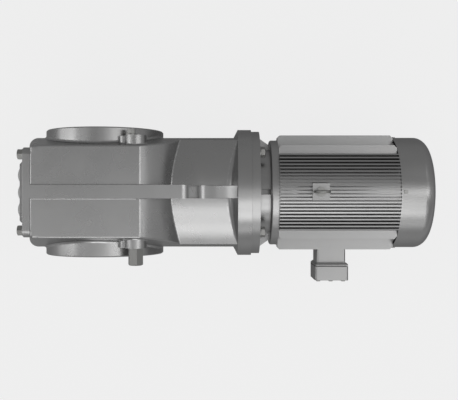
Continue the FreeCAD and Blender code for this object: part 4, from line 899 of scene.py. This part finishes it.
work = bmesh.new()
for side in (-1, 1):
    rings = []
    for z, inset, radius in CORNER_ROWS:
        ring = [work.verts.new((x, side * y, z)) for x, y in corner_plan(z, inset, radius)]
        if z > TOP_ROWS_FROM:
            for sunk in (ring[0], ring[-2], ring[-1]):
                sunk.co.z -= TOP_SUNK
        rings.append(ring)
    loft(work, rings)
new_piece("mounting_face_corners", work, "housing_paint")

# %% [markdown]
# ## Rib that fairs into the motor flange
# The low band on the roof rises in a hollow curve until it meets the flange. It is an arc swept across its
# width, with a small slope along each upper edge.

# %% Fairing rib
RIB_START, RIB_LOW, RIB_R, RIB_TURN, RIB_STEPS = 252.0, 124.15, 120.0, 39.5, 16
RIB_HALF, RIB_FLAT, RIB_EDGE, RIB_FOOT = 14.9, 14.0, 1.0, 112.0

work = bmesh.new()
rings = []
for k in range(RIB_STEPS + 1):
    angle = math.radians(RIB_TURN) * k / RIB_STEPS
    x, z = RIB_START + RIB_R * math.sin(angle), RIB_LOW + RIB_R * (1 - math.cos(angle))
    section = ((-RIB_HALF, RIB_FOOT), (-RIB_HALF, z - RIB_EDGE), (-RIB_FLAT, z),
               (RIB_FLAT, z), (RIB_HALF, z - RIB_EDGE), (RIB_HALF, RIB_FOOT))
    rings.append([work.verts.new((x, y, height)) for y, height in section])
loft(work, rings)
new_piece("fairing_rib", work, "housing_paint")

# %% [markdown]
# ## Shoulder of the motor shield
# The shield ends in a flat ring with a tight round shoulder. It is a closed profile turned about the motor
# axis.

# %% Shield shoulder
RING_X, RING_R, RING_END_X, SHOULDER_R = 405.5, 128.7, 425.0, 5.5
RING_DEPTH, RING_WIDTH, ROUND_STEPS, TURN_STEPS = 14.0, 13.0, 6, 128
FACE_DROP, FACE_DEPTH = 0.4, 3.0

profile = [(RING_X + RING_WIDTH, RING_R - RING_DEPTH), (RING_X, RING_R - RING_DEPTH)]
for k in range(ROUND_STEPS + 1):
    angle = math.radians(180.0 - 90.0 * k / ROUND_STEPS)
    profile.append((RING_X + SHOULDER_R + SHOULDER_R * math.cos(angle),
                    RING_R - SHOULDER_R + SHOULDER_R * math.sin(angle)))
profile += [(RING_END_X, RING_R - FACE_DROP), (RING_END_X, RING_R - FACE_DEPTH)]
work = bmesh.new()
rings = []
for k in range(TURN_STEPS):
    turn = 2 * math.pi * k / TURN_STEPS
    rings.append([work.verts.new((x, r * math.cos(turn), r * math.sin(turn))) for x, r in profile])
loft(work, rings, closed=True)
new_piece("shield_shoulder", work, "motor_paint")

# %% [markdown]
# ## The head of a bolt
# A forged bolt head is a hexagon whose corners a cone has turned off. Geometry Nodes can make exactly that:
# a cylinder with six sides, cut down by a blunt cone. Every size is an input of the tree, so one tree
# serves bolts of any size.

# %% Bolt head
HEXAGON = 0.5 / math.cos(math.radians(30))
TOP_FLAT, CONE_FLARE, CONE_DEPTH, CONE_DROP, CONE_SIDES = 0.47, 2.2, 1.2, 0.2, 48


def set_off(tree, geometry, label, amount):
    """Moves geometry along Z, or turns it about Z. label is Translation or Rotation."""
    along = add_node(tree, "ShaderNodeCombineXYZ", {"Z": amount})
    moved = add_node(tree, "GeometryNodeTransform", {"Geometry": geometry, label: along.outputs[0]})
    return moved.outputs["Geometry"]


def bolt_cylinder(tree, sides, radius, depth, low):
    """A cylinder whose lower end is at low."""
    node = add_node(tree, "GeometryNodeMeshCylinder", {"Vertices": sides, "Radius": radius, "Depth": depth})
    middle = math_node(tree, "ADD", math_node(tree, "MULTIPLY", depth, 0.5), low)
    return set_off(tree, node.outputs["Mesh"], "Translation", middle)


def bolt_head(tree, flats, head, washer):
    """A hexagon on the washer, with its upper corners cut off by a cone."""
    hexagon = bolt_cylinder(tree, 6, math_node(tree, "MULTIPLY", flats, HEXAGON), head, washer)
    top_r = math_node(tree, "MULTIPLY", flats, TOP_FLAT)
    bottom_r = math_node(tree, "ADD", top_r, math_node(tree, "MULTIPLY", head, CONE_FLARE))
    depth = math_node(tree, "MULTIPLY", head, CONE_DEPTH)
    cone = add_node(tree, "GeometryNodeMeshCone", {"Vertices": CONE_SIDES, "Radius Top": top_r,
                                                   "Radius Bottom": bottom_r, "Depth": depth})
    low = math_node(tree, "SUBTRACT", washer, math_node(tree, "MULTIPLY", head, CONE_DROP))
    cut = add_node(tree, "GeometryNodeMeshBoolean", operation="INTERSECT", solver="EXACT")
    for part in (hexagon, set_off(tree, cone.outputs["Mesh"], "Translation", low)):
        tree.links.new(part, cut.inputs["Mesh 2"])
    return cut.outputs["Mesh"]


print("bolt head ready")

# %% [markdown]
# ## A row of bolts
# The tree adds a round washer and the shank, and sets the whole bolt on every point that it is given, with
# its head towards one direction. Instances are cheap while the tree runs, but an exported model drops them,
# so they are made real at the end.

# %% Bolt tree
WASHER_SIDES, SHANK_SIDES = 40, 24


def bolt_tree():
    """Sets a bolt on each point, with its head towards +Z before it is turned to face its way."""
    tree = bpy.data.node_groups.new("bolt_row", "GeometryNodeTree")
    sizes = ("Flats", "Head", "Washer Radius", "Washer", "Shank Radius", "Shank", "Turn")
    for label, kind in (("Places", "Geometry"), *[(label, "Float") for label in sizes],
                        ("Facing", "Vector"), ("Finish", "Material")):
        tree.interface.new_socket(label, in_out="INPUT", socket_type="NodeSocket" + kind)
    tree.interface.new_socket("Bolts", in_out="OUTPUT", socket_type="NodeSocketGeometry")
    given = add_node(tree, "NodeGroupInput").outputs
    made = add_node(tree, "NodeGroupOutput")
    head = bolt_head(tree, given["Flats"], given["Head"], given["Washer"])
    washer = bolt_cylinder(tree, WASHER_SIDES, given["Washer Radius"], given["Washer"], 0.0)
    shank = bolt_cylinder(tree, SHANK_SIDES, given["Shank Radius"], given["Shank"],
                          math_node(tree, "MULTIPLY", given["Shank"], -1.0))
    whole = add_node(tree, "GeometryNodeJoinGeometry")
    for part in (head, washer, shank):
        tree.links.new(part, whole.inputs[0])
    bolt = set_off(tree, whole.outputs[0], "Rotation", given["Turn"])
    face = add_node(tree, "FunctionNodeAlignRotationToVector", {"Vector": given["Facing"]}, axis="Z")
    row = add_node(tree, "GeometryNodeInstanceOnPoints", {"Points": given["Places"], "Instance": bolt,
                                                          "Rotation": face.outputs["Rotation"]})
    real = add_node(tree, "GeometryNodeRealizeInstances", {"Geometry": row.outputs["Instances"]})
    finish = add_node(tree, "GeometryNodeSetMaterial", {"Geometry": real.outputs["Geometry"],
                                                        "Material": given["Finish"]})
    tree.links.new(finish.outputs["Geometry"], made.inputs["Bolts"])
    return tree


BOLT_TREE = bolt_tree()
print("bolt tree", len(BOLT_TREE.nodes), "nodes")

# %% [markdown]
# ## The bolts in their places
# A mesh of bare points marks the seats, the modifier turns it into bolts, and the result becomes a plain
# mesh that stands for the CAD bolts. Eight bolts hold the rear cover, and four more join the motor flange.

# %% Bolt rows
BOLT_EDGE = 0.4 * MM
COVER_BOLT = {"Flats": 24.0, "Head": 12.0, "Washer Radius": 14.0, "Washer": 3.0, "Shank Radius": 7.0,
              "Turn": 0.0}
COVER_ROWS, COVER_BOLT_Y, COVER_LOW_Z, COVER_SPAN_Z = 4, 93.0, -208.0, 235.0
FLANGE_BOLT = {"Flats": 22.0, "Head": 10.0, "Washer Radius": 12.9, "Washer": 2.0, "Shank Radius": 7.0,
               "Turn": math.radians(30.0)}
FLANGE_CIRCLE_R, FLANGE_FIRST, FLANGE_COUNT = 132.5, 45.0, 4


def bolt_row(name, node_name, places, facing, sizes):
    """Bolts on the given seats, in place of a CAD node. sizes has the tree's inputs, in mm and radians."""
    mesh = bpy.data.meshes.new(name)
    mesh.from_pydata([[v * MM for v in spot] for spot in places], [], [])
    piece = place_in_scene(name, mesh)
    bolts = piece.modifiers.new("bolts", "NODES")
    bolts.node_group = BOLT_TREE
    key = {item.name: item.identifier for item in BOLT_TREE.interface.items_tree if item.in_out == "INPUT"}
    for label, value in sizes.items():
        bolts[key[label]] = value if label == "Turn" else value * MM
    bolts[key["Facing"]] = facing
    bolts[key["Finish"]] = FINISH[SLOT_OF[node_name]]
    apply_modifiers(piece)
    set_finish(piece, SLOT_OF[node_name])
    for polygon in piece.data.polygons:
        polygon.material_index = 0
        polygon.use_smooth = True
    round_edges(piece, BOLT_EDGE)
    stand_for(piece, node_name)
    print(name, len(piece.data.polygons), "faces")


def box_ends(node_name):
    """The lowest and the highest X of a CAD node, in millimetres."""
    return [corner[0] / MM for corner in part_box(node_name)]


low_x, high_x = box_ends("rear_cover_bolts")
seat = low_x + COVER_BOLT["Head"] + COVER_BOLT["Washer"]
seats = [(seat, side * COVER_BOLT_Y, COVER_LOW_Z + COVER_SPAN_Z * k / (COVER_ROWS - 1))
         for side in (-1, 1) for k in range(COVER_ROWS)]
bolt_row("rear_cover_bolt_row", "rear_cover_bolts", seats, (-1.0, 0.0, 0.0),
         {**COVER_BOLT, "Shank": high_x - seat})

low_x, high_x = box_ends("flange_bolts")
seat = high_x - FLANGE_BOLT["Head"] - FLANGE_BOLT["Washer"]
turns = [math.radians(FLANGE_FIRST + 360.0 * k / FLANGE_COUNT) for k in range(FLANGE_COUNT)]
seats = [(seat, FLANGE_CIRCLE_R * math.cos(turn), FLANGE_CIRCLE_R * math.sin(turn)) for turn in turns]
bolt_row("flange_bolt_row", "flange_bolts", seats, (1.0, 0.0, 0.0), {**FLANGE_BOLT, "Shank": seat - low_x})
